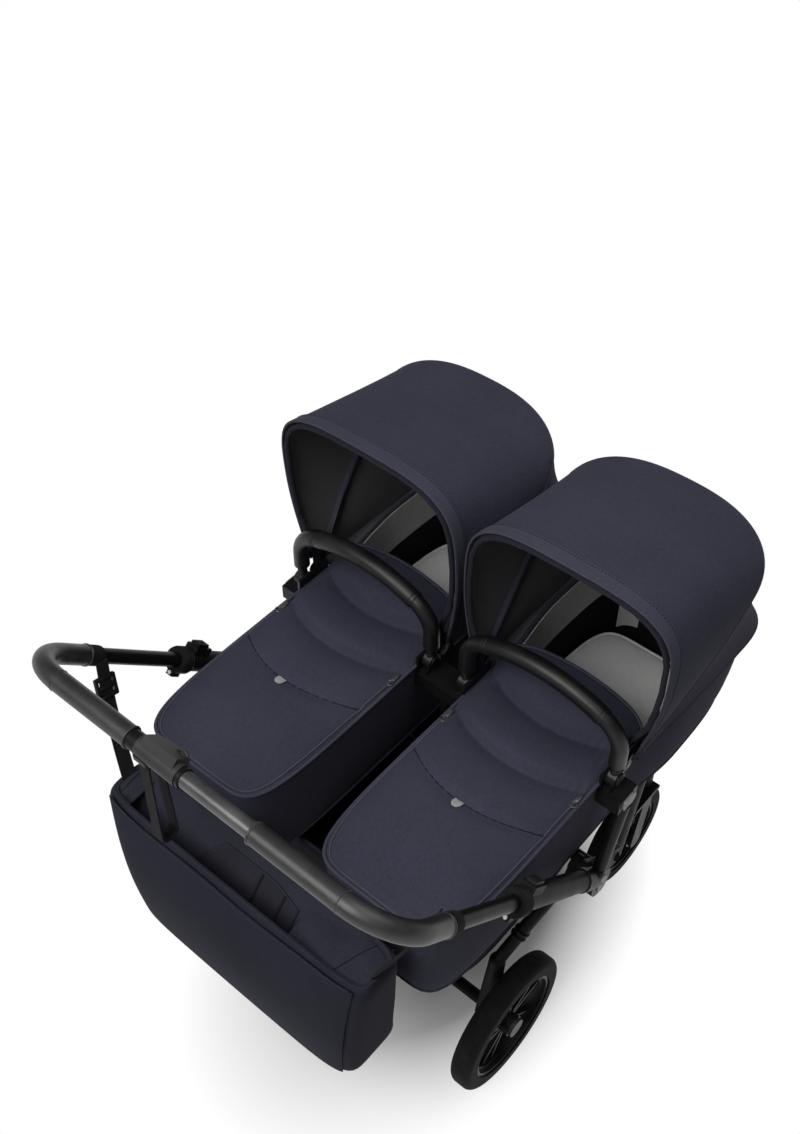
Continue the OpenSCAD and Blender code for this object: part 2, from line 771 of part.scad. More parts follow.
module apron(s) {
    rows = 36;
    cols = 13;
    y0 = foot_y + 2;
    function row_y(j) = lerp(y0, apron_y, pow(j/(rows - 1), 1.12));
    function col_u(i) = let (t = 2*i/(cols - 1) - 1) sin(90*t);
    color(navy_light) at_cot(s) slab(
        [for (j = [0:rows - 1]) [for (i = [0:cols - 1])
            [col_u(i)*cot_edge(row_y(j), 1), row_y(j), apron_top(col_u(i), row_y(j))]]],
        [for (j = [0:rows - 1]) [for (i = [0:cols - 1])
            [col_u(i)*cot_edge(row_y(j), 1), row_y(j), rim_z + seat_gap]]]);
}

module cot_brackets(s) {
    color(black) at_cot(s) for (k = [-1, 1]) sided(k) {
        box([bracket_x0, handle_y - bracket_edge - 4, bracket_z0],
            [bracket_x1, hood_y + bracket_edge, pivot_z + bracket_edge - 4]);
        box([bracket_x0, handle_y - bracket_edge, bracket_z0],
            [bracket_x1 + shelf_w, handle_y + bracket_edge + 2, bracket_z0 + shelf_t]);
        translate([0, handle_y, pivot_z])
            xcyl(bracket_x1 - 1, handle_disc_x0 + handle_disc_t + 1, handle_pin_r);
        translate([0, hood_y, pivot_z])
            xcyl(bracket_x1 - 1, rib_disc_x0 + hood_disc_t + 1, hood_pin_r);
    }
}

// Carry handles

// The grip is a shallow arc, and the posts bend over to meet its ends
grip_arc_r = (handle_grip_half*handle_grip_half + handle_sag*handle_sag)/(2*handle_sag);
grip_arc = asin(handle_grip_half/grip_arc_r);
post_bend = 90 - grip_arc;
post_bend_r = (handle_post_x - handle_grip_half)/(1 - cos(post_bend));
post_top_z = pivot_z + handle_h - handle_sag - post_bend_r*sin(post_bend);

// Bent round bar in the XZ plane, from angle a0 on through angle da
module arc_bar(bend_radius, r, a0, da) {
    rotate([90, 0, 0]) rotate([0, 0, a0])
        rotate_extrude(angle = da, $fn = 96) translate([bend_radius, 0]) circle(r);
}

module carry_handle(s) {
    color(black) at_cot(s) for (k = [-1, 1]) sided(k) translate([0, handle_y, 0]) {
        difference() {
            union() {
                translate([0, 0, pivot_z])
                    xcyl(handle_disc_x0, handle_disc_x0 + handle_disc_t, handle_disc_r);
                translate([handle_post_x, 0, pivot_z]) cylinder(r = handle_neck_r, h = handle_neck_h);
            }
            translate([0, 0, pivot_z])
                xcyl(handle_disc_x0 - 1, handle_disc_x0 + handle_disc_t + 1, handle_pin_r + run_fit);
        }
        translate([handle_post_x, 0, pivot_z + handle_neck_h])
            cylinder(r1 = handle_neck_r, r2 = handle_arm_r, h = handle_flare);
        translate([handle_post_x, 0, pivot_z + handle_neck_h + handle_flare])
            cylinder(r = handle_arm_r, h = post_top_z - pivot_z - handle_neck_h - handle_flare);
        translate([handle_post_x - post_bend_r, 0, post_top_z])
            arc_bar(post_bend_r, handle_arm_r, 0, post_bend);
    }
}

module handle_grip(s) {
    color(leather) at_cot(s) translate([0, handle_y, pivot_z + handle_h - grip_arc_r])
        arc_bar(grip_arc_r, handle_grip_r, 90 - grip_arc, 2*grip_arc);
}

// Hoods, as fans of bows around their pivot

// Each bow has an angle, half width, reach, height of its knee as a share, squareness and lean
HOOD_BOWS = [
    [hood_front_angle, hood_half, hood_front_r, 0.58, 3.6, hood_lean],
    [rib_angle, hood_half, hood_rib_r, 0.72, 2.5, hood_lean],
    [hood_back_angle, hood_back_half, hood_back_r, 0.7, 3.5, 0]];

// One bow from its right foot over to its left foot, as [x, reach]
function hood_arch(bow, inset) =
    let (w = bow[1] - inset, r = bow[2] - inset, knee = bow[2]*bow[3], n = bow[4], b = hood_base_x - inset,
        low = [for (k = [0:3]) let (t = k/4) [lerp(b, w, sin(90*t)), lerp(hood_base_r, knee, t)]],
        top = [for (k = [0:14]) let (c = k*180/14)
            [w*bend(cos(c), n), knee + (r - knee)*bend(sin(c), n)]],
        line = concat(low, top, [for (k = [3:-1:0]) [-low[k][0], low[k][1]]]))
    [for (q = line) [q[0] + bow[5]*q[1]/r, q[1]]];
function hood_turn(q, a) = [q[0], q[1]*sin(a), q[1]*cos(a)];
function hood_row(bow, inset) = [for (q = hood_arch(bow, inset)) hood_turn(q, bow[0])];

// Cloth pulled taut from one bow to the next, drawn in between them by a share sag above its base
function hood_panel(from, to, steps, sag, inset) =
    let (a = hood_row(from, inset), b = hood_row(to, inset), n = len(a))
    [for (j = [0:steps]) [for (i = [0:n - 1])
        let (p = lerp(a[n - 1 - i], b[n - 1 - i], j/steps),
            drawn = ease((norm([p[1], p[2]]) - hood_base_r)/sag_run))
        p*(1 - sag*drawn*sin(180*j/steps))]];

module at_hood(s) {
    at_cot(s) translate([0, hood_y, pivot_z]) children();
}

module hood_cover(s) {
    function skin(inset) = concat(
        hood_panel(HOOD_BOWS[0], HOOD_BOWS[1], 5, 0, inset),
        [for (k = [1:7]) hood_panel(HOOD_BOWS[1], HOOD_BOWS[2], 7, back_sag, inset)[k]]);
    color(navy) at_hood(s) slab(skin(0), skin(hood_t));
}

module hood_hoop(s, bow, disc_x0) {
    a = bow[0];
    mid_x = disc_x0 + hood_disc_t/2;
    line = [for (q = hood_arch(bow, hood_t + bow_clear + bow_r)) if (q[1] > 2*bow_start) q];
    path = concat([[mid_x, bow_start]], line, [[-mid_x, bow_start]]);
    color(black) at_hood(s) {
        for (k = [-1, 1]) sided(k) difference() {
            union() {
                xcyl(disc_x0, disc_x0 + hood_disc_t, hood_disc_r);
                rotate([-a, 0, 0])
                    box([disc_x0, -bow_lug_r, 0], [disc_x0 + hood_disc_t, bow_lug_r, bow_start + bow_lug_r]);
            }
            xcyl(disc_x0 - 1, disc_x0 + hood_disc_t + 1, hood_pin_r + run_fit);
        }
        tube([for (q = path) hood_turn(q, a)], bow_r, [0, cos(a), -sin(a)], 8);
    }
}

module hood_bow(s) {
    hood_hoop(s, HOOD_BOWS[0], bow_disc_x0);
}

module hood_rib(s) {
    hood_hoop(s, HOOD_BOWS[1], rib_disc_x0);
}

main_hinge(-1);  // main_hinge_left
main_hinge(1);  // main_hinge_right
sleeve(-1);  // sleeve_left
sleeve(1);  // sleeve_right
thumb_lever(-1);  // thumb_lever_left
thumb_lever(1);  // thumb_lever_right
seat_beam();
rear_leg(-1);  // rear_leg_left
rear_leg(1);  // rear_leg_right
rear_crossbar();
brake_pedal();
front_leg(-1);  // front_leg_left
front_leg(1);  // front_leg_right
front_crossbar();
caster_fork(-1);  // caster_fork_left
caster_fork(1);  // caster_fork_right
rear_tyre(-1);  // rear_tyre_left
rear_tyre(1);  // rear_tyre_right
rear_rim(-1);  // rear_rim_left
rear_rim(1);  // rear_rim_right
rear_hubcap(-1);  // rear_hubcap_left
rear_hubcap(1);  // rear_hubcap_right
front_tyre(-1);  // front_tyre_left
front_tyre(1);  // front_tyre_right
front_rim(-1);  // front_rim_left
front_rim(1);  // front_rim_right
adaptor(-1);  // adaptor_left
adaptor(1);  // adaptor_right
release_cap(-1);  // release_cap_left
release_cap(1);  // release_cap_right
centre_adaptor();
basket();
handlebar_tube();
grip(-1);  // grip_left
grip(1);  // grip_right
width_clamp();
wrist_strap();
bag_shell();
bag_pocket();
bag_strap(-1);  // bag_strap_left
bag_strap(1);  // bag_strap_right
cot_shell(-1);  // cot_shell_left
cot_shell(1);  // cot_shell_right
mattress(-1);  // mattress_left
mattress(1);  // mattress_right
apron(-1);  // apron_left
apron(1);  // apron_right
cot_brackets(-1);  // cot_brackets_left
cot_brackets(1);  // cot_brackets_right
carry_handle(-1);  // carry_handle_left
carry_handle(1);  // carry_handle_right
handle_grip(-1);  // handle_grip_left
handle_grip(1);  // handle_grip_right
hood_bow(-1);  // hood_bow_left
hood_bow(1);  // hood_bow_right
hood_rib(-1);  // hood_rib_left
hood_rib(1);  // hood_rib_right
hood_cover(-1);  // hood_cover_left
hood_cover(1);  // hood_cover_right
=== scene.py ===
"""Looks of a side by side double stroller, built around its solids, in metres."""

import logging
import math
from dataclasses import dataclass, field
from enum import Enum
from typing import Any, Callable, Sequence

import bmesh
import bpy
from mathutils import Matrix, Vector

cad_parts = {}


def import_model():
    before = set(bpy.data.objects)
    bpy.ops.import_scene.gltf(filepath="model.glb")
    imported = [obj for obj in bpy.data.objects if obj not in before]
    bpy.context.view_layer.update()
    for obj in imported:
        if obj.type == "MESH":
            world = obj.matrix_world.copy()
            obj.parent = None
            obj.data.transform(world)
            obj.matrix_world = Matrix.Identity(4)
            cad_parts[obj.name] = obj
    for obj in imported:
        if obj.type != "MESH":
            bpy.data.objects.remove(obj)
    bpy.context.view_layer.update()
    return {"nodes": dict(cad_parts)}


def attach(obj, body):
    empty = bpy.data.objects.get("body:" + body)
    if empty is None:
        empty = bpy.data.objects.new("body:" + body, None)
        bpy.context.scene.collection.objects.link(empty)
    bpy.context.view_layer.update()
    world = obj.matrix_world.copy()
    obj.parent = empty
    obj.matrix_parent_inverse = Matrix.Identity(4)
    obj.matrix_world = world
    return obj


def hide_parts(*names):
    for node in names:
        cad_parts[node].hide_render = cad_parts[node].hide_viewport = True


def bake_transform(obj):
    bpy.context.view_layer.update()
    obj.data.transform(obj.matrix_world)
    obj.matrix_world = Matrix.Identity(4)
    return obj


LOG = logging.getLogger("stroller")
RGB = tuple[float, float, float]
Points = list[Vector]
Place = Callable[[float, float], Vector]
HALF_TURN = math.pi
QUARTER_TURN = math.pi / 2
UP = Vector((0, 0, 1))
RING_STEPS = 720
TINY = 1e-9
DISC_SIDES = 40
STITCH_SIDES = 6
SECTION_SIDES = 10
BEVEL_STEPS = 3
DISH_INSET = 0.28
DISH_DEEP = 0.12
DISH_EDGE = math.radians(35)
SWELL_FRAMES = 20
SWELL_SETTINGS = {
    "quality": 5,
    "mass": 0.3,
    "tension_stiffness": 25,
    "compression_stiffness": 25,
    "shear_stiffness": 12,
    "bending_stiffness": 2,
    "use_pressure": True,
}


class Side(Enum):
    """The pusher's left or right."""

    LEFT = -1
    RIGHT = 1

    @property
    def tag(self) -> str:
        """The word that node and body names end in."""
        return self.name.lower()

    def at(self, x: float, y: float, z: float) -> Vector:
        """A point drawn for the right side, on this side."""
        return Vector((self.value * x, y, z))


class Edge(Enum):
    """How a mesh's shading breaks at its edges."""

    SOFT = math.radians(180)
    MOULDED = math.radians(40)


def lerp(a: Any, b: Any, t: float) -> Any:
    """The value a share t of the way from a to b."""
    return a + (b - a) * t


def ease(t: float) -> float:
    """A smooth step from 0 to 1."""
    c = max(0.0, min(1.0, t))
    return c * c * (3 - 2 * c)


def bend(c: float, n: float) -> float:
    """A cosine or sine squared off to a superellipse of power n."""
    return math.copysign(abs(c) ** (2 / n), c)


def even(line: Sequence[Vector], count: int) -> Points:
    """Points spaced evenly along a line.

    Args:
        line: the line's points, close together.
        count: how many points to return, both ends included.

    Returns:
        The evenly spaced points.
    """
    runs = [0.0]
    for a, b in zip(line, line[1:]):
        runs.append(runs[-1] + (b - a).length)
    made, k = [], 0
    for i in range(count):
        want = runs[-1] * i / (count - 1)
        while k < len(runs) - 2 and runs[k + 1] < want:
            k += 1
        span = max(runs[k + 1] - runs[k], TINY)
        made.append(line[k].lerp(line[k + 1], min(1.0, max(0.0, (want - runs[k]) / span))))
    return made


def squared(half_x: float, half_y: float, power_x: float, power_y: float) -> list[tuple[float, float]]:
    """A superellipse as close x, y all the way round, the last one on the first.

    Args:
        half_x: half of its width.
        half_y: half of its depth.
        power_x: how square it is across.
        power_y: how square it is in depth.

    Returns:
        The points.
    """
    turns = [2 * HALF_TURN * k / RING_STEPS for k in range(RING_STEPS + 1)]
    return [(half_x * bend(math.cos(a), power_x), half_y * bend(math.sin(a), power_y)) for a in turns]


def aimed(centre: Vector, axis: Vector, rest: Vector = UP) -> Matrix:
    """The placement at a centre that turns the rest direction to an axis."""
    turn = rest.rotation_difference(axis.normalized()).to_matrix().to_4x4()
    return Matrix.Translation(centre) @ turn


def deselect() -> None:
    """Leave nothing selected, in object mode."""
    if bpy.context.object and bpy.context.object.mode != "OBJECT":
        bpy.ops.object.mode_set(mode="OBJECT")
    bpy.ops.object.select_all(action="DESELECT")


def take(o: bpy.types.Object) -> bpy.types.Object:
    """Select one object alone and make it active.

    Args:
        o: the object.

    Returns:
        The same object.
    """
    deselect()
    o.select_set(True)
    bpy.context.view_layer.objects.active = o
    return o


def name_new(name: str) -> bpy.types.Object:
    """Name the object that an operator has just added.

    Args:
        name: the object's and its mesh's name.

    Returns:
        The object.
    """
    o = bpy.context.object
    o.name = name
    o.data.name = name
    return o


def link(name: str, data: bpy.types.ID) -> bpy.types.Object:
    """Put a new object with its data into the scene.

    Args:
        name: the object's name.
        data: its mesh, curve, lamp or camera.

    Returns:
        The new object.
    """
    o = bpy.data.objects.new(name, data)
    bpy.context.scene.collection.objects.link(o)
    return o


def in_edit(o: bpy.types.Object, *steps: Callable[[], Any]) -> None:
    """Run edit mode operators on all of one object's mesh.

    Args:
        o: the object.
        steps: the operators, in order.
    """
    take(o)
    bpy.ops.object.mode_set(mode="EDIT")
    bpy.ops.mesh.select_mode(type="VERT")
    bpy.ops.mesh.select_all(action="SELECT")
    for step in steps:
        step()
    bpy.ops.object.mode_set(mode="OBJECT")


def weld(o: bpy.types.Object, gap: float = 1e-5) -> None:
    """Merge points that meet and turn a closed mesh's faces outwards.

    Args:
        o: the object.
        gap: how close points meet.
    """
    in_edit(
        o,
        lambda: bpy.ops.mesh.remove_doubles(threshold=gap),
        lambda: bpy.ops.mesh.normals_make_consistent(inside=False),
    )


def modify(o: bpy.types.Object, kind: str, **settings: Any) -> None:
    """Add a modifier with its settings and apply it.

    Args:
        o: the object.
        kind: the modifier's type.
        settings: its settings by name.
    """
    m = o.modifiers.new(kind.lower(), kind)
    for key, value in settings.items():
        setattr(m, key, value)
    take(o)
    bpy.ops.object.modifier_apply(modifier=m.name)


def shade(o: bpy.types.Object, edge: Edge = Edge.SOFT) -> None:
    """Shade a mesh smooth up to an edge angle.

    Args:
        o: the object.
        edge: where the shading breaks.
    """
    take(o)
    if edge is Edge.SOFT:
        bpy.ops.object.shade_smooth()
    else:
        bpy.ops.object.shade_smooth_by_angle(angle=edge.value)


def grid(name: str, cols: int, rows: int, place: Place) -> bpy.types.Object:
    """A sheet shaped from a grid.

    Args:
        name: the piece's name.
        cols: faces across.
        rows: faces along.
        place: gives the point at shares u across and v along.

    Returns:
        The new object.
    """
    deselect()
    bpy.ops.mesh.primitive_grid_add(x_subdivisions=cols, y_subdivisions=rows, size=2)
    o = name_new(name)
    for v in o.data.vertices:
        v.co = place((v.co.x + 1) / 2, (v.co.y + 1) / 2)
    return o


def turn_out(o: bpy.types.Object, inside: Vector, away: bool = True) -> None:
    """Make an open sheet's faces look away from a point inside it, or towards it.

    Args:
        o: the sheet.
        inside: the point.
        away: turns the faces away from the point.
    """
    o.data.update()
    looks = sum((f.center - inside).dot(f.normal) * f.area for f in o.data.polygons)
    if (looks < 0) == away:
        in_edit(o, bpy.ops.mesh.flip_normals)


def panel(name: str, cells: tuple[int, int], place: Place, inside: Vector, thick: float,
          offset: float = 0.0, away: bool = True) -> bpy.types.Object:
    """A thin sheet shaped from a grid, with its thickness.

    Args:
        name: the piece's name.
        cells: faces across and along.
        place: gives the point at shares u across and v along.
        inside: a point that its faces look away from.
        thick: its thickness.
        offset: where the thickness lies, from -1 inside to 1 outside.
        away: turns the faces away from the point.

    Returns:
        The new object.
    """
    o = grid(name, *cells, place)
    turn_out(o, inside, away)
    modify(o, "SOLIDIFY", thickness=thick, offset=offset)
    shade(o, Edge.MOULDED)
    return o


def loft(name: str, rings: Sequence[Points], caps: bool = True) -> bpy.types.Object:
    """A closed skin through rings of equally many points.

    Args:
        name: the piece's name.
        rings: the rings, from one end to the other.
        caps: close both ends.

    Returns:
        The new object.
    """
    n, m = len(rings[0]), len(rings)

    def place(u: float, v: float) -> Vector:
        """The point of a ring, the last one meeting the first."""
        return rings[round(v * (m - 1))][round(u * n) % n]

    o = grid(name, n, m - 1, place)
    weld(o)
    if caps:
        in_edit(
            o,
            lambda: bpy.ops.mesh.select_all(action="DESELECT"),
            bpy.ops.mesh.select_non_manifold,
            lambda: bpy.ops.mesh.fill_holes(sides=0),
            lambda: bpy.ops.mesh.select_all(action="SELECT"),
            lambda: bpy.ops.mesh.normals_make_consistent(inside=False),
        )
    return o


def pillow(name: str, cols: int, rows: int, top: Place, low: Place) -> bpy.types.Object:
    """A closed pad between a top and an underside that share their border's count.

    Args:
        name: the piece's name.
        cols: faces across.
        rows: faces along.
        top: the upper surface.
        low: the underside.

    Returns:
        The new object.
    """
    a = grid(name, cols, rows, top)
    b = grid(name + "_low", cols, rows, low)
    take(a)
    b.select_set(True)
    bpy.ops.object.join()
    in_edit(
        a,
        lambda: bpy.ops.mesh.select_all(action="DESELECT"),
        bpy.ops.mesh.select_non_manifold,
        bpy.ops.mesh.bridge_edge_loops,
    )
    weld(a)
    return a


def cordage(name: str, line: Sequence[Vector], radius: float, closed: bool = False,
            round_steps: int = 2) -> bpy.types.Object:
    """Piping, wire or a bent bar along a line.

    Args:
        name: the piece's name.
        line: the line's points.
        radius: its radius.
        closed: joins the last point to the first.
        round_steps: steps in a quarter of its section.

    Returns:
        The new object, as a mesh.
    """
    data = bpy.data.curves.new(name, "CURVE")
    data.dimensions = "3D"
    data.bevel_depth = radius
    data.bevel_resolution = round_steps
    data.use_fill_caps = not closed
    spline = data.splines.new("POLY")
    spline.points.add(len(line) - 1)
    for p, q in zip(spline.points, line):
        p.co = (*q, 1)
    spline.use_cyclic_u = closed
    take(link(name, data))
    bpy.ops.object.convert(target="MESH")
    o = bpy.context.object
    weld(o)
    shade(o)
    return o


def stitching(name: str, line: Sequence[Vector], pitch: float = 0.006, share: float = 0.6,
              radius: float = 0.0007) -> bpy.types.Object:
    """A row of stitches as short six sided dashes along a line.

    Args:
        name: the piece's name.
        line: the seam's points.
        pitch: distance from stitch to stitch.
        share: share of the pitch that a stitch shows.
        radius: the thread's radius.

    Returns:
        The new object.
    """
    length = sum((b - a).length for a, b in zip(line, line[1:]))
    count = max(2, int(length / pitch))
    spots = even(line, 2 * count + 1)
    bm = bmesh.new()
    for k in range(count):
        a, b = spots[2 * k], spots[2 * k + 1]
        b = a + (b - a) * 2 * share
        bmesh.ops.create_cone(bm, cap_ends=True, segments=STITCH_SIDES, radius1=radius, radius2=radius,
                              depth=(b - a).length, matrix=aimed((a + b) / 2, b - a))
    data = bpy.data.meshes.new(name)
    bm.to_mesh(data)
    bm.free()
    o = link(name, data)
    shade(o, Edge.MOULDED)
    return o


def ring(name: str, centre: Vector, axis: Vector, radius: float, thick: float,
         around: int = 40) -> bpy.types.Object:
    """A round band about an axis.

    Args:
        name: the piece's name.
        centre: its middle.
        axis: the direction it goes round.
        radius: to the middle of its section.
        thick: radius of its section.
        around: segments round it.

    Returns:
        The new object.
    """
    deselect()
    bpy.ops.mesh.primitive_torus_add(major_radius=radius, minor_radius=thick, major_segments=around,
                                     minor_segments=SECTION_SIDES)
    o = name_new(name)
    o.data.transform(aimed(centre, axis))
    shade(o)
    return o


def button(name: str, centre: Vector, axis: Vector, radius: float, high: float, round_off: float,
           stretch: tuple[float, float] = (1.0, 1.0)) -> bpy.types.Object:
    """A round or oval disc with softened edges and a shallow dish on its face.

    Args:
        name: the piece's name.
        centre: the middle of its foot.
        axis: the way its face looks.
        radius: its radius.
        high: its height over its foot.
        round_off: radius of its edge.
        stretch: factors on its two widths.

    Returns:
        The new object.
    """
    deselect()
    bpy.ops.mesh.primitive_cylinder_add(vertices=DISC_SIDES, radius=radius, depth=high,
                                        location=(0, 0, high / 2))
    o = name_new(name)
    o.data.transform(Matrix.Translation((0, 0, high / 2)))
    o.location = (0, 0, 0)
    bpy.ops.object.mode_set(mode="EDIT")
    bpy.ops.mesh.select_all(action="DESELECT")
    bpy.ops.object.mode_set(mode="OBJECT")
    for f in o.data.polygons:
        f.select = f.normal.z > 0.9
    bpy.ops.object.mode_set(mode="EDIT")
    bpy.ops.mesh.select_mode(type="FACE")
    bpy.ops.mesh.inset(thickness=radius * DISH_INSET, depth=-high * DISH_DEEP)
    bpy.ops.object.mode_set(mode="OBJECT")
    modify(o, "BEVEL", width=round_off, segments=BEVEL_STEPS, limit_method="ANGLE", angle_limit=DISH_EDGE)
    o.data.transform(aimed(centre, axis) @ Matrix.Diagonal((*stretch, 1, 1)))
    shade(o, Edge.MOULDED)
    return o


def block(name: str, low: Vector, high: Vector, round_off: float,
          place: Matrix | None = None) -> bpy.types.Object:
    """A moulded block with softened edges.

    Args:
        name: the piece's name.
        low: its lowest corner.
        high: its highest corner.
        round_off: radius of its edges.
        place: moves it from its own frame.

    Returns:
        The new object.
    """
    deselect()
    bpy.ops.mesh.primitive_cube_add(size=1)
    o = name_new(name)
    size, middle = high - low, (high + low) / 2
    o.data.transform(Matrix.Translation(middle) @ Matrix.Diagonal((*size, 1)))
    modify(o, "BEVEL", width=round_off, segments=BEVEL_STEPS)
    if place is not None:
        o.data.transform(place)
    shade(o, Edge.MOULDED)
    return o


def swell(o: bpy.types.Object, held: Callable[[Vector], float], pressure: float, cap: float) -> None:
    """Blow a pad up as sewn cloth, and keep the result in its mesh.

    Args:
        o: the pad, a closed mesh of even faces.
        held: gives how firmly a point is sewn down, from 0 to 1.
        pressure: the filling's pressure.
        cap: the furthest that a point may move.
    """
    rest = [v.co.copy() for v in o.data.vertices]
    group = o.vertex_groups.new(name="sewn")
    for v in o.data.vertices:
        group.add([v.index], held(v.co), "REPLACE")
    m = o.modifiers.new("cloth", "CLOTH")
    s = m.settings
    for key, value in SWELL_SETTINGS.items():
        setattr(s, key, value)
    s.uniform_pressure_force = pressure
    s.effector_weights.gravity = 0
    s.vertex_group_mass = group.name
    m.collision_settings.use_collision = False
    scene = bpy.context.scene
    for f in range(SWELL_FRAMES):
        scene.frame_set(f + 1)
    seen = o.evaluated_get(bpy.context.evaluated_depsgraph_get())
    moved = [v.co.copy() for v in seen.data.vertices]
    o.modifiers.remove(m)
    scene.frame_set(1)
    for v, a, b in zip(o.data.vertices, rest, moved):
        way = b - a
        far = way.length
        v.co = a + way * (min(1.0, cap / far) if far > TINY else 0.0)
    o.vertex_groups.clear()
    o.data.update()


class Value:
    """A shader socket that takes part in sums."""

    def __init__(self, paint: "Paint", socket: bpy.types.NodeSocket) -> None:
        """Wrap one output socket."""
        self.paint = paint
        self.socket = socket

    def sum(self, kind: str, other: Any, flip: bool = False) -> "Value":
        """Add a Math node on this value and another.

        Args:
            kind: the Math node's operation.
            other: a value or a number.
            flip: puts the other value first.

        Returns:
            The node's value.
        """
        pair = (other, self) if flip else (self, other)
        return self.paint.node("ShaderNodeMath", {"operation": kind}, {0: pair[0], 1: pair[1]})

    def __add__(self, other: Any) -> "Value":
        """This plus another."""
        return self.sum("ADD", other)

    def __radd__(self, other: Any) -> "Value":
        """Another plus this."""
        return self.sum("ADD", other, True)

    def __sub__(self, other: Any) -> "Value":
        """This less another."""
        return self.sum("SUBTRACT", other)

    def __rsub__(self, other: Any) -> "Value":
        """Another less this."""
        return self.sum("SUBTRACT", other, True)

    def __mul__(self, other: Any) -> "Value":
        """This times another."""
        return self.sum("MULTIPLY", other)

    def __rmul__(self, other: Any) -> "Value":
        """Another times this."""
        return self.sum("MULTIPLY", other, True)

    def __pow__(self, other: Any) -> "Value":
        """This to a power."""
        return self.sum("POWER", other)


class Paint:
    """The nodes of one material, or of the world, while they are being put together."""

    def __init__(self, owner: bpy.types.Material | bpy.types.World) -> None:
        """Start with no nodes.

        Args:
            owner: the new material or world.
        """
        owner.use_nodes = True
        self.owner = owner
        self.tree = owner.node_tree
        self.tree.nodes.clear()

    @classmethod
    def named(cls, name: str) -> "Paint":
        """Start a new material."""
        return cls(bpy.data.materials.new(name))

    def node(self, kind: str, settings: dict[str, Any] | None = None,
             inputs: dict[Any, Any] | None = None, out: Any = 0) -> Value:
        """Add a node.

        Args:
            kind: the node's type.
            settings: its settings, set first.
            inputs: values or links of its sockets, by name or number.
            out: the socket to return.

        Returns:
            The node's output.
        """
        n = self.tree.nodes.new(kind)
        for key, value in (settings or {}).items():
            setattr(n, key, value)
        for key, value in (inputs or {}).items():
            if isinstance(value, Value):
                self.tree.links.new(value.socket, n.inputs[key])
            else:
                n.inputs[key].default_value = value
        return Value(self, n.outputs[out])

    def place(self, scale: RGB = (1, 1, 1), shift: RGB = (0, 0, 0)) -> Value:
        """Object coordinates, scaled and shifted.

        Args:
            scale: factors on the coordinates.
            shift: added to them.

        Returns:
            The coordinates.
        """
        coords = self.node("ShaderNodeTexCoord", out="Object")
        return self.node("ShaderNodeMapping", {"vector_type": "POINT"},
                         {"Vector": coords, "Location": shift, "Scale": scale})

    def part(self, vector: Value, axis: str) -> Value:
        """One coordinate of a vector."""
        return self.node("ShaderNodeSeparateXYZ", None, {"Vector": vector}, out=axis)

    def noise(self, vector: Value, scale: float, detail: float = 3.0, rough: float = 0.55) -> Value:
        """Noise from 0 to 1."""
        return self.node("ShaderNodeTexNoise", None,
                         {"Vector": vector, "Scale": scale, "Detail": detail, "Roughness": rough})

    def blend(self, share: Any, a: Any, b: Any) -> Value:
        """A mix of two colours."""
        pair = [c if isinstance(c, Value) else (*c, 1) for c in (a, b)]
        return self.node("ShaderNodeMix", {"data_type": "RGBA"}, {0: share, 6: pair[0], 7: pair[1]}, out=2)

    def span(self, value: Value, low: float, high: float, to_low: float = 0.0,
             to_high: float = 1.0) -> Value:
        """A value stretched from one range to another, and held inside it."""
        return self.node("ShaderNodeMapRange", {"clamp": True},
                         {0: value, 1: low, 2: high, 3: to_low, 4: to_high})

    def bump(self, height: Value, strength: float, distance: float) -> Value:
        """A normal raised by a height."""
        return self.node("ShaderNodeBump", None,
                         {"Height": height, "Strength": strength, "Distance": distance})

    def done(self, base: Any, rough: Any, normal: Value | None = None, **fixed: Any) -> bpy.types.Material:
        """Finish the material with its shader.

        Args:
            base: the base colour, or its value.
            rough: the roughness, or its value.
            normal: a bumped normal.
            fixed: constant sockets, with underscores for spaces.

        Returns:
            The material.
        """
        colour = base if isinstance(base, Value) else (*base, 1)
        inputs: dict[Any, Any] = {"Base Color": colour, "Roughness": rough}
        if normal is not None:
            inputs["Normal"] = normal
        for key, value in fixed.items():
            inputs[key.replace("_", " ")] = value
        self.close(self.node("ShaderNodeBsdfPrincipled", None, inputs))
        return self.owner

    def close(self, surface: Value, kind: str = "ShaderNodeOutputMaterial") -> None:
        """Link a shader to the output."""
        n = self.tree.nodes.new(kind)
        self.tree.links.new(surface.socket, n.inputs["Surface"])


@dataclass(frozen=True)
class Cloth:
    """A woven cloth of two thread tones, with slubs and a soft nap."""

    name: str
    dark: RGB
    light: RGB
    thread: float = 900.0
    relief: float = 0.22
    nap: float = 0.03
    rough: float = 0.88

    def mix(self) -> bpy.types.Material:
        """The cloth's material.

        Returns:
            The material.
        """
        p = Paint.named(self.name)
        warp = p.noise(p.place((self.thread, self.thread * 0.12, self.thread * 0.12)), 1.0, 2.0)
        weft = p.noise(p.place((self.thread * 0.12, self.thread, self.thread)), 1.0, 2.0)
        tone = p.noise(p.place(), 7.0, 2.0)
        threads = 0.5 * warp + 0.5 * weft
        share = p.span(threads + 0.35 * (tone - 0.5), 0.3, 0.7)
        fine = p.noise(p.place(), self.thread * 1.3, 2.0)
        normal = p.bump(threads + 0.5 * fine, self.relief, 0.0006)
        rough = p.span(fine, 0.2, 0.8, self.rough - 0.06, min(1.0, self.rough + 0.06))
        return p.done(p.blend(share, self.dark, self.light), rough, normal, Sheen_Weight=self.nap,
                      Sheen_Roughness=0.45, Sheen_Tint=(0.75, 0.75, 0.9, 1), Specular_IOR_Level=0.1)


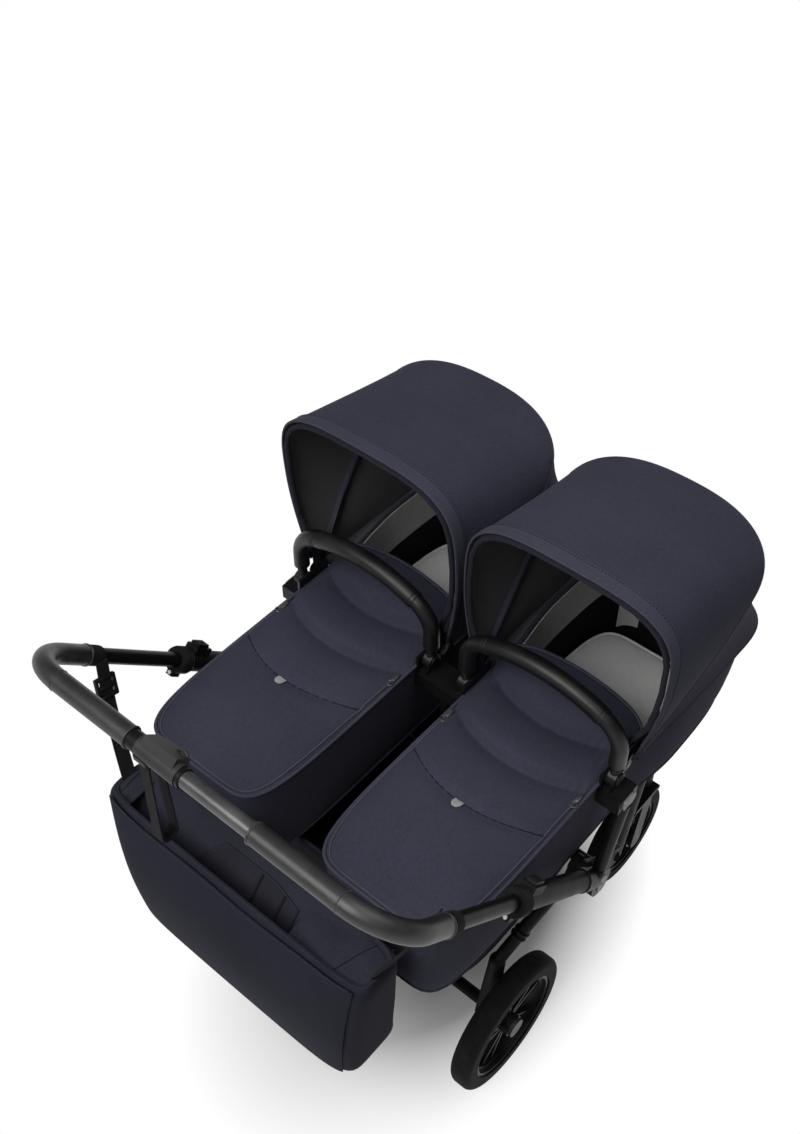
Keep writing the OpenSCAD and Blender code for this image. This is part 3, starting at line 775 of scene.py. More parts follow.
@dataclass(frozen=True)
class Leather:
    """A smooth leather look with a fine grain, rubbed lighter in places."""

    name: str
    dark: RGB
    light: RGB
    grain: float = 620.0
    rough: float = 0.40
    shine: float = 0.55

    def mix(self) -> bpy.types.Material:
        """The leather's material.

        Returns:
            The material.
        """
        p = Paint.named(self.name)
        cells = p.node("ShaderNodeTexVoronoi", {"feature": "DISTANCE_TO_EDGE"},
                       {"Vector": p.place(), "Scale": self.grain})
        creases = p.span(cells, 0.0, 0.12)
        cloud = p.noise(p.place(), 18.0, 4.0)
        rubbed = p.span(cloud, 0.42, 0.68)
        normal = p.bump(creases + 0.6 * p.noise(p.place(), self.grain * 0.5, 3.0), 0.16, 0.0004)
        rough = p.span(cloud, 0.3, 0.7, self.rough - 0.05, self.rough + 0.07)
        return p.done(p.blend(rubbed, self.dark, self.light), rough, normal, Specular_IOR_Level=self.shine)


@dataclass(frozen=True)
class Moulding:
    """A moulded plastic or coated metal with a spark texture and light handling marks."""

    name: str
    dark: RGB
    light: RGB
    rough: float = 0.5
    spark: float = 1500.0
    relief: float = 0.12
    metal: float = 0.0
    shine: float = 0.3
    coated: RGB | None = None

    def mix(self) -> bpy.types.Material:
        """The moulding's material, with a coat on what lies far from the middle where it has one.

        Returns:
            The material.
        """
        p = Paint.named(self.name)
        cloud = p.noise(p.place(), 24.0, 4.0)
        grit = p.noise(p.place(), self.spark, 2.0)
        marks = p.noise(p.place((60, 400, 60)), 1.0, 3.0)
        rough = p.span(cloud + 0.4 * marks, 0.4, 1.0, self.rough - 0.07, self.rough + 0.09)
        base, metal = p.blend(p.span(cloud, 0.35, 0.7), self.dark, self.light), self.metal
        if self.coated:
            across = p.part(p.place(), "X")
            coat = p.span(across * across, 0.022, 0.024)
            base, metal = p.blend(coat, base, self.coated), self.metal * (1 - coat)
        normal = p.bump(grit, self.relief, 0.0003)
        return p.done(base, rough, normal, Metallic=metal, Specular_IOR_Level=self.shine)


@dataclass(frozen=True)
class Tyre:
    """Foam rubber with fine rings about the wheel's axle and a dusty tread."""

    name: str
    axle_y: float
    axle_z: float
    radius: float
    dark: RGB = (0.005, 0.005, 0.0055)
    dust: RGB = (0.013, 0.013, 0.013)
    ring_pitch: float = 0.0035

    def mix(self) -> bpy.types.Material:
        """The tyre's material.

        Returns:
            The material.
        """
        p = Paint.named(self.name)
        spot = p.place(shift=(0, -self.axle_y, -self.axle_z))
        y, z = p.part(spot, "Y"), p.part(spot, "Z")
        out = (y * y + z * z) ** 0.5
        rings = (out * (2 * HALF_TURN / self.ring_pitch)).sum("SINE", 0.0)
        foam = p.noise(p.place(), 900.0, 3.0)
        tread = p.span(out, self.radius - 0.010, self.radius - 0.002)
        normal = p.bump(0.35 * rings * (1 - tread) + foam, 0.35, 0.0005)
        dusty = tread * p.span(p.noise(p.place(), 30.0, 4.0), 0.4, 0.75)
        return p.done(p.blend(dusty, self.dark, self.dust), p.span(foam, 0.2, 0.8, 0.72, 0.9), normal,
                      Specular_IOR_Level=0.15)


@dataclass(frozen=True)
class Netting:
    """A black knitted vent mesh of small round holes."""

    name: str
    thread: RGB = (0.006, 0.006, 0.007)
    gap: RGB = (0.0015, 0.0015, 0.0015)
    pitch: float = 0.0026

    def mix(self) -> bpy.types.Material:
        """The netting's material.

        Returns:
            The material.
        """
        p = Paint.named(self.name)
        cells = p.node("ShaderNodeTexVoronoi", {"feature": "F1"},
                       {"Vector": p.place(), "Scale": 1 / self.pitch, "Randomness": 0.2})
        hole = p.span(cells, 0.22, 0.4)
        return p.done(p.blend(hole, self.gap, self.thread), 0.85, p.bump(hole, 0.5, 0.0006),
                      Specular_IOR_Level=0.15)


@dataclass(frozen=True)
class Webbing:
    """A ribbed woven strap."""

    name: str
    dark: RGB = (0.006, 0.006, 0.0066)
    light: RGB = (0.012, 0.012, 0.013)
    ribs: float = 0.0016

    def mix(self) -> bpy.types.Material:
        """The webbing's material.

        Returns:
            The material.
        """
        p = Paint.named(self.name)
        rows = p.node("ShaderNodeTexWave", {"bands_direction": "Z"},
                      {"Vector": p.place(), "Scale": 0.32 / self.ribs, "Distortion": 0.6, "Detail": 1.0})
        fuzz = p.noise(p.place(), 1100.0, 2.0)
        return p.done(p.blend(rows, self.dark, self.light), p.span(fuzz, 0.2, 0.8, 0.75, 0.92),
                      p.bump(rows + 0.5 * fuzz, 0.5, 0.0005), Sheen_Weight=0.02, Specular_IOR_Level=0.12)


@dataclass
class Finishes:
    """Every finish of the stroller, mixed once."""

    mixed: dict[str, bpy.types.Material] = field(default_factory=dict)

    def __post_init__(self) -> None:
        """Mix the finishes."""
        kinds: list[Any] = [
            Cloth("navy_cloth", (0.029, 0.029, 0.046), (0.047, 0.047, 0.070)),
            Cloth("navy_pad", (0.028, 0.028, 0.045), (0.046, 0.046, 0.069)),
            Cloth("navy_piping", (0.034, 0.034, 0.052), (0.060, 0.060, 0.086), thread=1400.0),
            Cloth("bag_cloth", (0.016, 0.016, 0.025), (0.027, 0.027, 0.039)),
            # A darker copy of bag_cloth for the bag's outer walls: painted shade, as these walls face away
            # from the light.
            Cloth("bag_face", (0.012, 0.012, 0.020), (0.021, 0.021, 0.032)),
            Cloth("hood_lining", (0.090, 0.087, 0.092), (0.122, 0.118, 0.124)),
            Cloth("bag_lining", (0.013, 0.013, 0.018), (0.021, 0.021, 0.028)),
            Cloth("grey_lining", (0.40, 0.40, 0.395), (0.50, 0.50, 0.495), thread=700.0),
            Cloth("mattress_cover", (0.55, 0.55, 0.545), (0.66, 0.66, 0.655), thread=600.0),
            Cloth("zip_tape", (0.045, 0.045, 0.062), (0.075, 0.075, 0.098), thread=1600.0),
            Cloth("thread_navy", (0.010, 0.010, 0.016), (0.017, 0.017, 0.025), thread=1800.0),
            Leather("grip_leather", (0.014, 0.014, 0.014), (0.024, 0.024, 0.024)),
            Leather("handle_leather", (0.005, 0.005, 0.005), (0.010, 0.010, 0.010), shine=0.36),
            Moulding("black_tube", (0.006, 0.006, 0.0062), (0.010, 0.010, 0.0103), rough=0.48,
                     shine=0.08),
            Moulding("bare_tube", (0.09, 0.09, 0.091), (0.13, 0.13, 0.131), rough=0.32, metal=0.7,
                     shine=0.08, coated=(0.006, 0.006, 0.0062)),
            Moulding("black_plastic", (0.004, 0.004, 0.0042), (0.007, 0.007, 0.0072), rough=0.42,
                     relief=0.2, shine=0.16),
            Moulding("gloss_plastic", (0.006, 0.006, 0.0062), (0.010, 0.010, 0.0103), rough=0.27,
                     relief=0.05),
            Moulding("wheel_plastic", (0.005, 0.005, 0.0052), (0.009, 0.009, 0.0093), rough=0.42),
            Moulding("hub_plastic", (0.030, 0.030, 0.031), (0.045, 0.045, 0.046), rough=0.42),
            Moulding("cap_grey", (0.12, 0.12, 0.122), (0.19, 0.19, 0.193), rough=0.4, relief=0.06),
            Moulding("clamp_plastic", (0.020, 0.020, 0.0205), (0.030, 0.030, 0.0305), rough=0.5,
                     relief=0.2),
            Moulding("dot_white", (0.62, 0.62, 0.61), (0.72, 0.72, 0.71), rough=0.4, relief=0.05),
            Moulding("tag_grey", (0.26, 0.26, 0.265), (0.34, 0.34, 0.345), rough=0.55, relief=0.2),
            Moulding("zip_metal", (0.09, 0.09, 0.095), (0.15, 0.15, 0.155), rough=0.35, metal=0.7),
            Netting("vent_mesh"),
            Webbing("strap_webbing"),
            Tyre("rear_tyre_foam", -0.152, 0.142, 0.142),
            Tyre("front_tyre_foam", 0.345, 0.118, 0.118),
        ]
        for kind in kinds:
            self.mixed[kind.name] = kind.mix()

    def dress(self, o: bpy.types.Object, *names: str) -> bpy.types.Object:
        """Give an object its finishes, in slot order.

        Args:
            o: the object.
            names: its finishes.

        Returns:
            The same object.
        """
        o.data.materials.clear()
        for name in names:
            o.data.materials.append(self.mixed[name])
        return o


@dataclass
class Bench:
    """What every sub-assembly needs to hand its pieces over."""

    finishes: Finishes
    made: list[str] = field(default_factory=list)

    def fit(self, o: bpy.types.Object, body: str, slot: str, *finish: str) -> bpy.types.Object:
        """Dress a rigid piece and let it ride on a body.

        Args:
            o: the piece.
            body: the body's name.
            slot: a material slot's name, handed on to enter.
            finish: its finishes, none where it has them.

        Returns:
            The piece.
        """
        if finish:
            self.finishes.dress(o, *finish)
        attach(o, body)
        return self.enter(o, slot, f"rides on {body}")

    def enter(self, o: bpy.types.Object, slot: str, how: str) -> bpy.types.Object:
        """Report the piece and keep its name.

        Args:
            o: the piece.
            slot: not used.
            how: how it moves.

        Returns:
            The piece.
        """
        self.made.append(o.name)
        LOG.info("%s %s", o.name, how)
        return o


@dataclass
class Assembly:
    """A sub-assembly that hands its pieces over, on its body unless they ride on another."""

    bench: Bench

    def fit(self, o: bpy.types.Object, slot: str, *finish: str) -> bpy.types.Object:
        """Dress a rigid piece and let it ride on the sub-assembly's body."""
        return self.bench.fit(o, self.body, slot, *finish)

    def cord(self, name: str, line: Sequence[Vector], radius: float, slot: str, finish: str,
             closed: bool = False, round_steps: int = 2) -> bpy.types.Object:
        """Make piping or a bar along a line and fit it."""
        return self.fit(cordage(name, line, radius, closed, round_steps), slot, finish)


@dataclass(frozen=True)
class Arms:
    """The handlebar's two arms, which lean back from the main hinges."""

    hinge_y: float = -0.012
    hinge_z: float = 0.520
    tilt: float = math.radians(46)
    x: float = 0.360

    @property
    def frame(self) -> Matrix:
        """The frame with the arms along Z and the hinge at the origin."""
        return Matrix.Translation((0, self.hinge_y, self.hinge_z)) @ Matrix.Rotation(self.tilt, 4, "X")


@dataclass
class CotShape:
    """The line of a carrycot's rim and walls, with its own middle at x = 0."""

    middle_x: float = 0.190
    rim_z: float = 0.728
    foot_y: float = -0.379
    head_y: float = 0.530
    half: float = 0.138
    head_half: float = 0.157
    widen_y: float = 0.110
    widen_run: float = 0.190
    square: float = 7.0
    steps: int = 240

    @property
    def middle_y(self) -> float:
        """The middle of its length."""
        return (self.head_y + self.foot_y) / 2

    def reach(self, inset: float) -> float:
        """Half of its length, drawn in by inset."""
        return (self.head_y - self.foot_y) / 2 - inset

    def edge(self, y: float, inset: float) -> float:
        """Half width of the outline at y, drawn in by inset.

        Args:
            y: place along the cot.
            inset: how far it is drawn in.

        Returns:
            The half width.
        """
        t = min(1.0, abs(y - self.middle_y) / self.reach(inset))
        wide = lerp(self.half, self.head_half, ease((y - self.widen_y) / self.widen_run)) - inset
        return wide * max(0.0, 1 - t**self.square) ** (1 / self.square)

    def outline(self, inset: float, count: int) -> list[tuple[float, float]]:
        """The outline as evenly spaced x, y from the foot round by the outer side.

        Args:
            inset: how far it is drawn in.
            count: how many points.

        Returns:
            The points.
        """
        turns = [HALF_TURN * k / self.steps for k in range(self.steps + 1)]
        ys = [self.middle_y - self.reach(inset) * math.cos(a) for a in turns]
        line = [Vector((self.edge(y, inset), y, 0)) for y in ys]
        line += [Vector((-self.edge(y, inset), y, 0)) for y in reversed(ys)]
        return [(p.x, p.y) for p in even(line, count + 1)[:-1]]

    def ring(self, side: Side, z: float, inset: float, count: int) -> Points:
        """One ring of the wall."""
        return [side.at(self.middle_x + x, y, z) for x, y in self.outline(inset, count)]

    def border(self, side: Side, z: float, inset: float, until_y: float, count: int) -> Points:
        """The outline from one side round the foot to the other, up to a place along it.

        Args:
            side: the cot's side.
            z: its height.
            inset: how far it is drawn in.
            until_y: where it ends along the cot.
            count: how many points.

        Returns:
            The line.
        """
        half = 180
        line = self.outline(inset, 2 * half)
        outer = [q for q in line[:half] if q[1] < until_y]
        inner = [q for q in line[half:] if q[1] < until_y]
        return even([side.at(self.middle_x + x, y, z) for x, y in inner + outer], count)


@dataclass
class CotPart(Assembly):
    """A sub-assembly that rides on a carrycot."""

    side: Side
    shape: CotShape = field(default_factory=CotShape)

    @property
    def body(self) -> str:
        """The body it rides on."""
        return f"carrycot_{self.side.tag}"


@dataclass
class Carrycot(CotPart):
    """A carrycot's shell, lining and mattress."""

    around: int = 132
    apron_y: float = 0.150
    mattress_low: float = 0.5043
    mattress_thick: float = 0.064
    mattress_gap: float = 0.060
    lining_gap: float = 0.0018
    lining_thick: float = 0.0016
    lining_cells: tuple[int, int] = (240, 12)
    lining_over: float = 0.05
    mesh_cut: tuple[float, float] = (1.06, 0.14)
    band_cut: tuple[float, float] = (1.06, 0.09)
    strip_cut: tuple[float, float] = (0.05, 0.19)
    strip_x: float = 0.106
    strip_half: float = 0.033
    strip_y: float = 0.47
    floor_half: float = 0.108
    floor_ends: tuple[float, float] = (0.425, 0.486)
    floor_z: float = 0.5050
    floor_thick: float = 0.0014

    INNER = ((0.728, 0.009), (0.700, 0.0105), (0.638, 0.0135), (0.580, 0.0195), (0.540, 0.0245),
             (0.515, 0.032), (0.504, 0.042))
    OUTER = ((0.492, 0.060), (0.4925, 0.046), (0.500, 0.030), (0.512, 0.0225), (0.528, 0.018),
             (0.560, 0.0125), (0.600, 0.0085), (0.638, 0.006), (0.680, 0.0034), (0.712, 0.0014),
             (0.723, 0.0012), (0.728, 0.003), (0.7284, 0.0055))
    FLOOR = (0.5035, 0.060)

    def inner(self, z: float) -> float:
        """How far the inside wall lies in from the outline at a height.

        Args:
            z: the height.

        Returns:
            The distance.
        """
        for (z1, a), (z0, b) in zip(self.INNER, self.INNER[1:]):
            if z >= z0:
                return lerp(a, b, (z1 - z) / (z1 - z0))
        return self.INNER[-1][1]

    def build(self) -> None:
        """Make every piece of the shell and its bed."""
        self.shell()
        self.trim()
        self.lining()
        self.floor()
        self.bed()

    def shell(self) -> None:
        """The cloth covered tub, outside and in."""
        side, wall = self.side, (*self.OUTER, *self.INNER, self.FLOOR)
        rings = [self.shape.ring(side, z, inset, self.around) for z, inset in wall]
        o = loft(f"cot_cover_{side.tag}", rings)
        shade(o, Edge.MOULDED)
        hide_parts(f"cot_shell_{side.tag}")
        self.fit(o, "fabric", "navy_cloth")

    def trim(self) -> None:
        """Piping along the rim's head end and the base seam."""
        s, side = self.shape, self.side
        line = s.ring(side, s.rim_z + 0.0005, 0.0042, 260)
        head = [p for p in line if p.y > self.apron_y + 0.004]
        self.cord(f"cot_rim_piping_{side.tag}", head, 0.0032, "fabric", "navy_piping")
        base = s.ring(side, 0.513, 0.0216, 160)
        self.cord(f"cot_base_piping_{side.tag}", base, 0.0024, "fabric", "navy_piping", closed=True)

    def lining(self) -> None:
        """Grey band round the head, vent mesh below it and two strips down the head's wall."""
        tag, head = self.side.tag, self.apron_y - self.lining_over
        self.strip(f"cot_mesh_{tag}", (0.506, 0.645), 0.0, lambda q: q.y > head, "vent_mesh", self.mesh_cut)
        self.strip(f"cot_band_{tag}", (0.638, 0.7275), 0.0012, lambda q: q.y > head, "grey_lining",
                   self.band_cut)
        for k, x in enumerate((-self.strip_x, self.strip_x)):
            self.strip(f"cot_strip_{k}_{tag}", (0.536, 0.722), 0.0026,
                       lambda q: q.y > self.strip_y and abs(q.x - x) < self.strip_half, "grey_lining",
                       self.strip_cut)

    def strip(self, name: str, ends: tuple[float, float], out: float, keep: Callable[[Vector], bool],
              finish: str, cut: tuple[float, float]) -> None:
        """A strip of cloth on the inside wall.

        Args:
            name: the piece's name.
            ends: heights of its lower and upper edge.
            out: how far it stands out beyond the lining.
            keep: tells which points of its lower line it covers, from the cot's own middle.
            finish: its finish.
            cut: its flat size.
        """
        s, side, (count, rows) = self.shape, self.side, self.lining_cells
        heights = [lerp(*ends, k / rows) for k in range(rows + 1)]
        lines = [s.ring(side, z, self.inner(z) + self.lining_gap + out, count) for z in heights]
        share = [i for i in range(count) if keep(side.at(*lines[0][i]) - Vector((s.middle_x, 0, 0)))]

        def place(u: float, v: float) -> Vector:
            """A point of the strip."""
            return lines[round(v * rows)][share[round(u * (len(share) - 1))]]

        o = panel(name, (len(share) - 1, rows), place, side.at(s.middle_x, 0.30, 0.62), self.lining_thick,
                  -1, away=False)
        self.fit(o, "lining", finish)
        f"cot_cover_{side.tag}"

    def floor(self) -> None:
        """The dark cloth on the floor beyond the mattress's head."""
        s, side, (y0, y1) = self.shape, self.side, self.floor_ends

        def place(u: float, v: float) -> Vector:
            """A point of the cloth."""
            return side.at(s.middle_x + (2 * u - 1) * self.floor_half, lerp(y0, y1, v), self.floor_z)

        o = panel(f"cot_floor_{side.tag}", (12, 6), place, side.at(s.middle_x, 0.4, 0.3), self.floor_thick)
        self.fit(o, "lining", "bag_lining")
        f"cot_cover_{side.tag}"

    def bed(self) -> None:
        """The mattress, crowned and piped, with its head a little short of the wall."""
        side = self.side
        s = CotShape(head_y=self.shape.head_y - self.mattress_gap)
        low, high = self.mattress_low, self.mattress_low + self.mattress_thick
        rows = [(low, 0.060), (low, 0.044), (low + 0.010, 0.0365), (low + 0.028, 0.0290),
                (high - 0.014, 0.0280), (high - 0.005, 0.0310), (high - 0.0005, 0.040),
                (high + 0.002, 0.060), (high + 0.003, 0.085)]
        o = loft(f"mattress_pad_{side.tag}", [s.ring(side, z, inset, 96) for z, inset in rows])
        shade(o)
        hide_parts(f"mattress_{side.tag}")
        self.fit(o, "lining", "mattress_cover")
        edge = s.ring(side, high - 0.004, 0.0318, 160)
        self.cord(f"mattress_piping_{side.tag}", edge, 0.0030, "lining", "mattress_cover", closed=True)


@dataclass
class Apron(CotPart):
    """A carrycot's padded cover with its sewn channels, piped edge, zip and tag."""

    end_y: float = 0.150
    corner: float = 0.014
    crown: float = 0.034
    crown_power: float = 0.6
    foot_run: float = 0.12
    channels: tuple[tuple[float, float], ...] = ((0.009, 0.016), (0.022, 0.032), (0.025, 0.038))
    steep: float = 0.008
    pucker: float = 0.08
    pucker_waves: tuple[float, float] = (62, 40)
    seam_ends: tuple[float, ...] = (-0.121, -0.007, 0.093)
    seam_bow: float = 0.050
    flap: float = 0.022
    flap_run: float = 0.150
    flap_level: float = 0.020
    edge_high: float = 0.0035
    edge_inset: float = 0.001
    cells: tuple[int, int] = (56, 110)
    pressure: float = 4.0
    swell_cap: float = 0.010
    sewn_half: float = 0.010
    sewn_run: float = 0.006
    seam_reach: float = 0.97
    line_steps: int = 60
    zip_y: float = -0.030
    slider: Vector = field(default_factory=lambda: Vector((0.0038, 0.0080, 0.0026)))
    pull_r: float = 0.0060
    tag_half: float = 0.0085
    tag_long: float = 0.016

    def seam(self, k: int, u: float) -> float:
        """Place along the cot of seam k at a share u across."""
        return self.seam_ends[k] - self.seam_bow * (1 - u * u)

    def top(self, u: float, y: float) -> float:
        """Height of the padded top.

        Args:
            u: share across, from -1 to 1.
            y: place along the cot.

        Returns:
            The height.
        """
        s = self.shape
        lift = self.crown * max(0.0, 1 - u * u) ** self.crown_power * ease((y - s.foot_y) / self.foot_run)
        rise = ease((y - self.end_y + self.flap_run) / (self.flap_run - self.flap_level))
        flap = self.flap * rise * (1 - 0.5 * u * u)
        cut = 0.0
        for k, (deep, run) in enumerate(self.channels):
            d = y - self.seam(k, u)
            cut = max(cut, deep * math.exp(-d / self.steep if d > 0 else d / run))
        across, along = self.pucker_waves
        pucker = self.pucker * math.sin(u * across + y * along) * cut
        return s.rim_z + self.edge_high + lift + flap + pucker - cut * (1 - 0.7 * abs(u) ** 5)

    def build(self) -> None:
        """Make the pad and what is sewn to it."""
        self.pad()
        self.edging()
        self.zip()
        self.tag()

    def end(self, u: float) -> float:
        """Place of the head edge at a share u across."""
        return self.end_y - self.corner * abs(u) ** 10

    def spot(self, u: float, y: float, lift: float) -> Vector:
        """A point on the pad's top, raised by lift."""
        s = self.shape
        return self.side.at(s.middle_x + u * s.edge(y, self.edge_inset), y, self.top(u, y) + lift)

    def pad(self) -> None:
        """The quilted pad."""
        s, side = self.shape, self.side
        y0 = s.foot_y + 0.002

        def along(u: float, v: float) -> float:
            """Place along the cot, closer together at the foot, with the head's corners rounded."""
            return lerp(y0, self.end(across(u)), v**1.25)

        def across(u: float) -> float:
            """Share across, closer together at the sides."""
            return math.sin((2 * u - 1) * QUARTER_TURN)

        def top(u: float, v: float) -> Vector:
            """The quilted top."""
            return self.spot(across(u), along(u, v), 0.0)

        def low(u: float, v: float) -> Vector:
            """The flat underside."""
            q, y = across(u), along(u, v)
            return side.at(s.middle_x + q * s.edge(y, self.edge_inset), y, s.rim_z + 0.0004)

        o = pillow(f"apron_pad_{side.tag}", *self.cells, top, low)
        swell(o, self.held, self.pressure, self.swell_cap)
        modify(o, "SUBSURF", levels=1, render_levels=1)
        shade(o)
        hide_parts(f"apron_{side.tag}")
        self.fit(o, "fabric", "navy_pad")

    def held(self, p: Vector) -> float:
        """How firmly the pad is sewn down at a point: its underside, border and seams.

        Args:
            p: the point.

        Returns:
            From 0, free, to 1, sewn.
        """
        s = self.shape
        x = self.side.value * p.x - s.middle_x
        u = x / max(0.02, s.edge(p.y, self.edge_inset))
        if p.z < s.rim_z + 0.003 or abs(u) > 0.985 or p.y > self.end(u) - 0.004:
            return 1.0
        near = min(abs(p.y - self.seam(k, u)) for k in range(len(self.seam_ends)))
        return max(0.0, min(1.0, (self.sewn_half - near) / self.sewn_run))

    def edging(self) -> None:
        """Piping round the border and across the flap, and a very dark cord in the lowest seam that stands
        for its stitching and a painted shadow line.
        """
        s, side, n = self.shape, self.side, self.line_steps
        shares = [k / n for k in range(-n, n + 1)]
        line = s.border(side, s.rim_z + 0.0036, 0.0004, self.end(1.0), 220)
        self.cord(f"apron_piping_{side.tag}", line, 0.0032, "fabric", "navy_piping")
        bent = [math.sin(q * QUARTER_TURN) for q in shares]
        line = [self.spot(u, self.end(u), -0.002) for u in bent]
        self.cord(f"apron_flap_piping_{side.tag}", line, 0.0034, "fabric", "navy_piping")
        # The lowest seam's cord is the darkest navy thread: real stitching, and painted shadow for the line
        # that the pad above casts.
        sewn = [q * self.seam_reach for q in shares]
        line = [self.spot(u, self.seam(0, u), 0.0012) for u in sewn]
        self.cord(f"apron_seam_{side.tag}", line, 0.0013, "fabric", "thread_navy")

    def zip(self) -> None:
        """The zip along the pad's border, with a slider and pull at each end."""
        s, side = self.shape, self.side
        line = []
        for p in s.border(side, 0.0, 0.007, self.zip_y, 220):
            u = (side.value * p.x - s.middle_x) / s.edge(p.y, self.edge_inset)
            line.append(Vector((p.x, p.y, self.top(u, p.y) + 0.0008)))
        self.cord(f"apron_zip_{side.tag}", line, 0.0016, "fabric", "zip_tape")
        for k, spot in enumerate((line[0], line[-1])):
            o = block(f"zip_slider_{k}_{side.tag}", spot - self.slider, spot + self.slider, 0.0012)
            self.fit(o, "plastic", "zip_metal")
            o = ring(f"zip_pull_{k}_{side.tag}", spot + Vector((0, -0.015, 0.0012)), Vector((0, 0.1, 1)),
                     self.pull_r, 0.0013)
            self.fit(o, "plastic", "zip_metal")

    def tag(self) -> None:
        """The small bare tag in the lowest seam."""
        s, side = self.shape, self.side
        y = self.seam(0, 0.0)

        def place(u: float, v: float) -> Vector:
            """A rounded tongue that lies on the pad below the seam.

            Args:
                u: share across, from 0 to 1.
                v: share along, from 0 to 1.

            Returns:
                The point.
            """
            x = (2 * u - 1) * self.tag_half * (1 - max(0.0, 0.5 - v) ** 2 * 2.2)
            low = y - self.tag_long * (1 - v)
            return side.at(s.middle_x + x, low, self.top(x / s.half, low) + 0.0022)

        o = panel(f"apron_tag_{side.tag}", (8, 8), place, side.at(s.middle_x, y, 0.5), 0.0016, 1)
        self.fit(o, "cap", "tag_grey")


@dataclass(frozen=True)
class Bow:
    """One bow of a hood: its angle, half width, reach, knee, squareness and lean."""

    angle: float
    half: float
    reach: float
    knee: float
    square: float
    lean: float


@dataclass
class Hood:
    """A hood's cloth with its lining, rim and seams."""

    bench: Bench
    side: Side
    middle_x: float = 0.190
    pivot_y: float = 0.071
    pivot_z: float = 0.738
    base_x: float = 0.1603
    base_r: float = 0.020
    thick: float = 0.0025
    sag: float = 0.04
    sag_run: float = 0.120
    front: Bow = Bow(-2.5, 0.190, 0.375, 0.58, 3.6, 0.014)
    rib: Bow = Bow(45.0, 0.190, 0.450, 0.72, 2.5, 0.014)
    back: Bow = Bow(92.0, 0.166, 0.470, 0.70, 3.5, 0.0)
    low_steps: int = 14
    top_steps: int = 52
    front_rows: int = 14
    back_rows: int = 20
    band: float = 0.085
    hem_rows: int = 5
    hem_over: float = -0.004
    stitch_in: float = 0.012
    skirt_rows: int = 6
    skirt_thick: float = 0.0018
    skirt_dip: float = 0.004
    skirt_focus_y: float = 0.22
    cloth_cut: tuple[float, float] = (0.66, 0.70)
    skirt_cut: tuple[float, float] = (0.70, 0.025)
    sleeve_from: float = 0.06

    def arch(self, bow: Bow, inset: float) -> list[tuple[float, float]]:
        """A bow from its inner foot over to its outer foot, as x and reach.

        Args:
            bow: the bow.
            inset: how far it is drawn in.

        Returns:
            The points.
        """
        w, r, b = bow.half - inset, bow.reach - inset, self.base_x - inset
        knee = bow.reach * bow.knee
        low = [Vector((lerp(b, w, math.sin(QUARTER_TURN * k / 40)), lerp(self.base_r, knee, k / 40), 0))
               for k in range(41)]
        over = squared(w, r - knee, bow.square, bow.square)[:RING_STEPS // 2 + 1]
        top = [Vector((x, knee + y, 0)) for x, y in over]
        low, top = even(low, self.low_steps + 1), even(top, self.top_steps + 1)
        line = low[:-1] + top + [Vector((-p.x, p.y, 0)) for p in reversed(low[:-1])]
        return [(p.x + bow.lean * p.y / r, p.y) for p in reversed(line)]

    def turned(self, x: float, r: float, angle: float) -> Vector:
        """A point of a bow in the stroller's frame."""
        a = math.radians(angle)
        return self.pivot() + self.side.at(x, r * math.sin(a), r * math.cos(a))

    def row(self, bow: Bow, inset: float = 0.0) -> Points:
        """A bow's line in the stroller's frame."""
        return [self.turned(x, r, bow.angle) for x, r in self.arch(bow, inset)]

    def pivot(self) -> Vector:
        """The middle of the hood's pivot line."""
        return self.side.at(self.middle_x, self.pivot_y, self.pivot_z)

    def ahead(self, inset: float, t: float) -> Points:
        """A line over the hood, a share t of the way from the front bow to the middle rib."""
        return [p.lerp(q, t) for p, q in zip(self.row(self.front, inset), self.row(self.rib, inset))]

    def skin(self) -> list[Points]:
        """The cloth's rows from the rim to the back.

        Returns:
            The rows.
        """
        b, c = self.row(self.rib), self.row(self.back)
        rows = [self.ahead(0.0, j / self.front_rows) for j in range(self.front_rows)]
        for j in range(self.back_rows + 1):
            t = j / self.back_rows
            made = []
            for p, q in zip(b, c):
                d = p.lerp(q, t) - self.pivot()
                drawn = ease((math.hypot(d.y, d.z) - self.base_r) / self.sag_run)
                made.append(self.pivot() + d * (1 - self.sag * drawn * math.sin(HALF_TURN * t)))
            rows.append(made)
        return rows

    def build(self) -> None:
        """Make the cloth and what is sewn to it."""
        cover = self.cover()
        self.skirt()
        trims = [self.rim_band(), self.rim_piping(), self.rim_stitches(), self.rib_seam()]
        self.rib_sleeve()
        self.back_hem()
        f"hood_bow_{self.side.tag}"
        f"hood_rib_{self.side.tag}"

    def hang(self, o: bpy.types.Object, slot: str, *finish: str) -> bpy.types.Object:
        """Dress a piece of cloth and bake its placement into its mesh.

        Args:
            o: the piece.
            slot: a material slot's name, handed on to enter.
            finish: its finishes, none where it has them.

        Returns:
            The piece.
        """
        if finish:
            self.bench.finishes.dress(o, *finish)
        base = self.pivot()
        f"carrycot_{self.side.tag}"
        f"hood_bow_{self.side.tag}"
        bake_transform(o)
        return self.bench.enter(o, slot, "folds with the hood")

    def sheet(self, name: str, rows: list[Points], thick: float, way: float,
              *finish: str) -> bpy.types.Object:
        """A sheet through rows of points, given its thickness, and its lining where it has one.

        Args:
            name: the piece's name.
            rows: its rows of points.
            thick: its thickness.
            way: where the thickness lies, from -1 inside to 1 outside.
            finish: its finish, and its lining's.

        Returns:
            The new object.
        """
        n, m = len(rows[0]), len(rows)
        o = grid(name, n - 1, m - 1, lambda u, v: rows[round(v * (m - 1))][round(u * (n - 1))])
        turn_out(o, self.pivot() + Vector((0, 0.1, 0.1)))
        self.bench.finishes.dress(o, *finish)
        modify(o, "SOLIDIFY", thickness=thick, offset=way, material_offset=len(finish) - 1)
        shade(o, Edge.MOULDED)
        return o

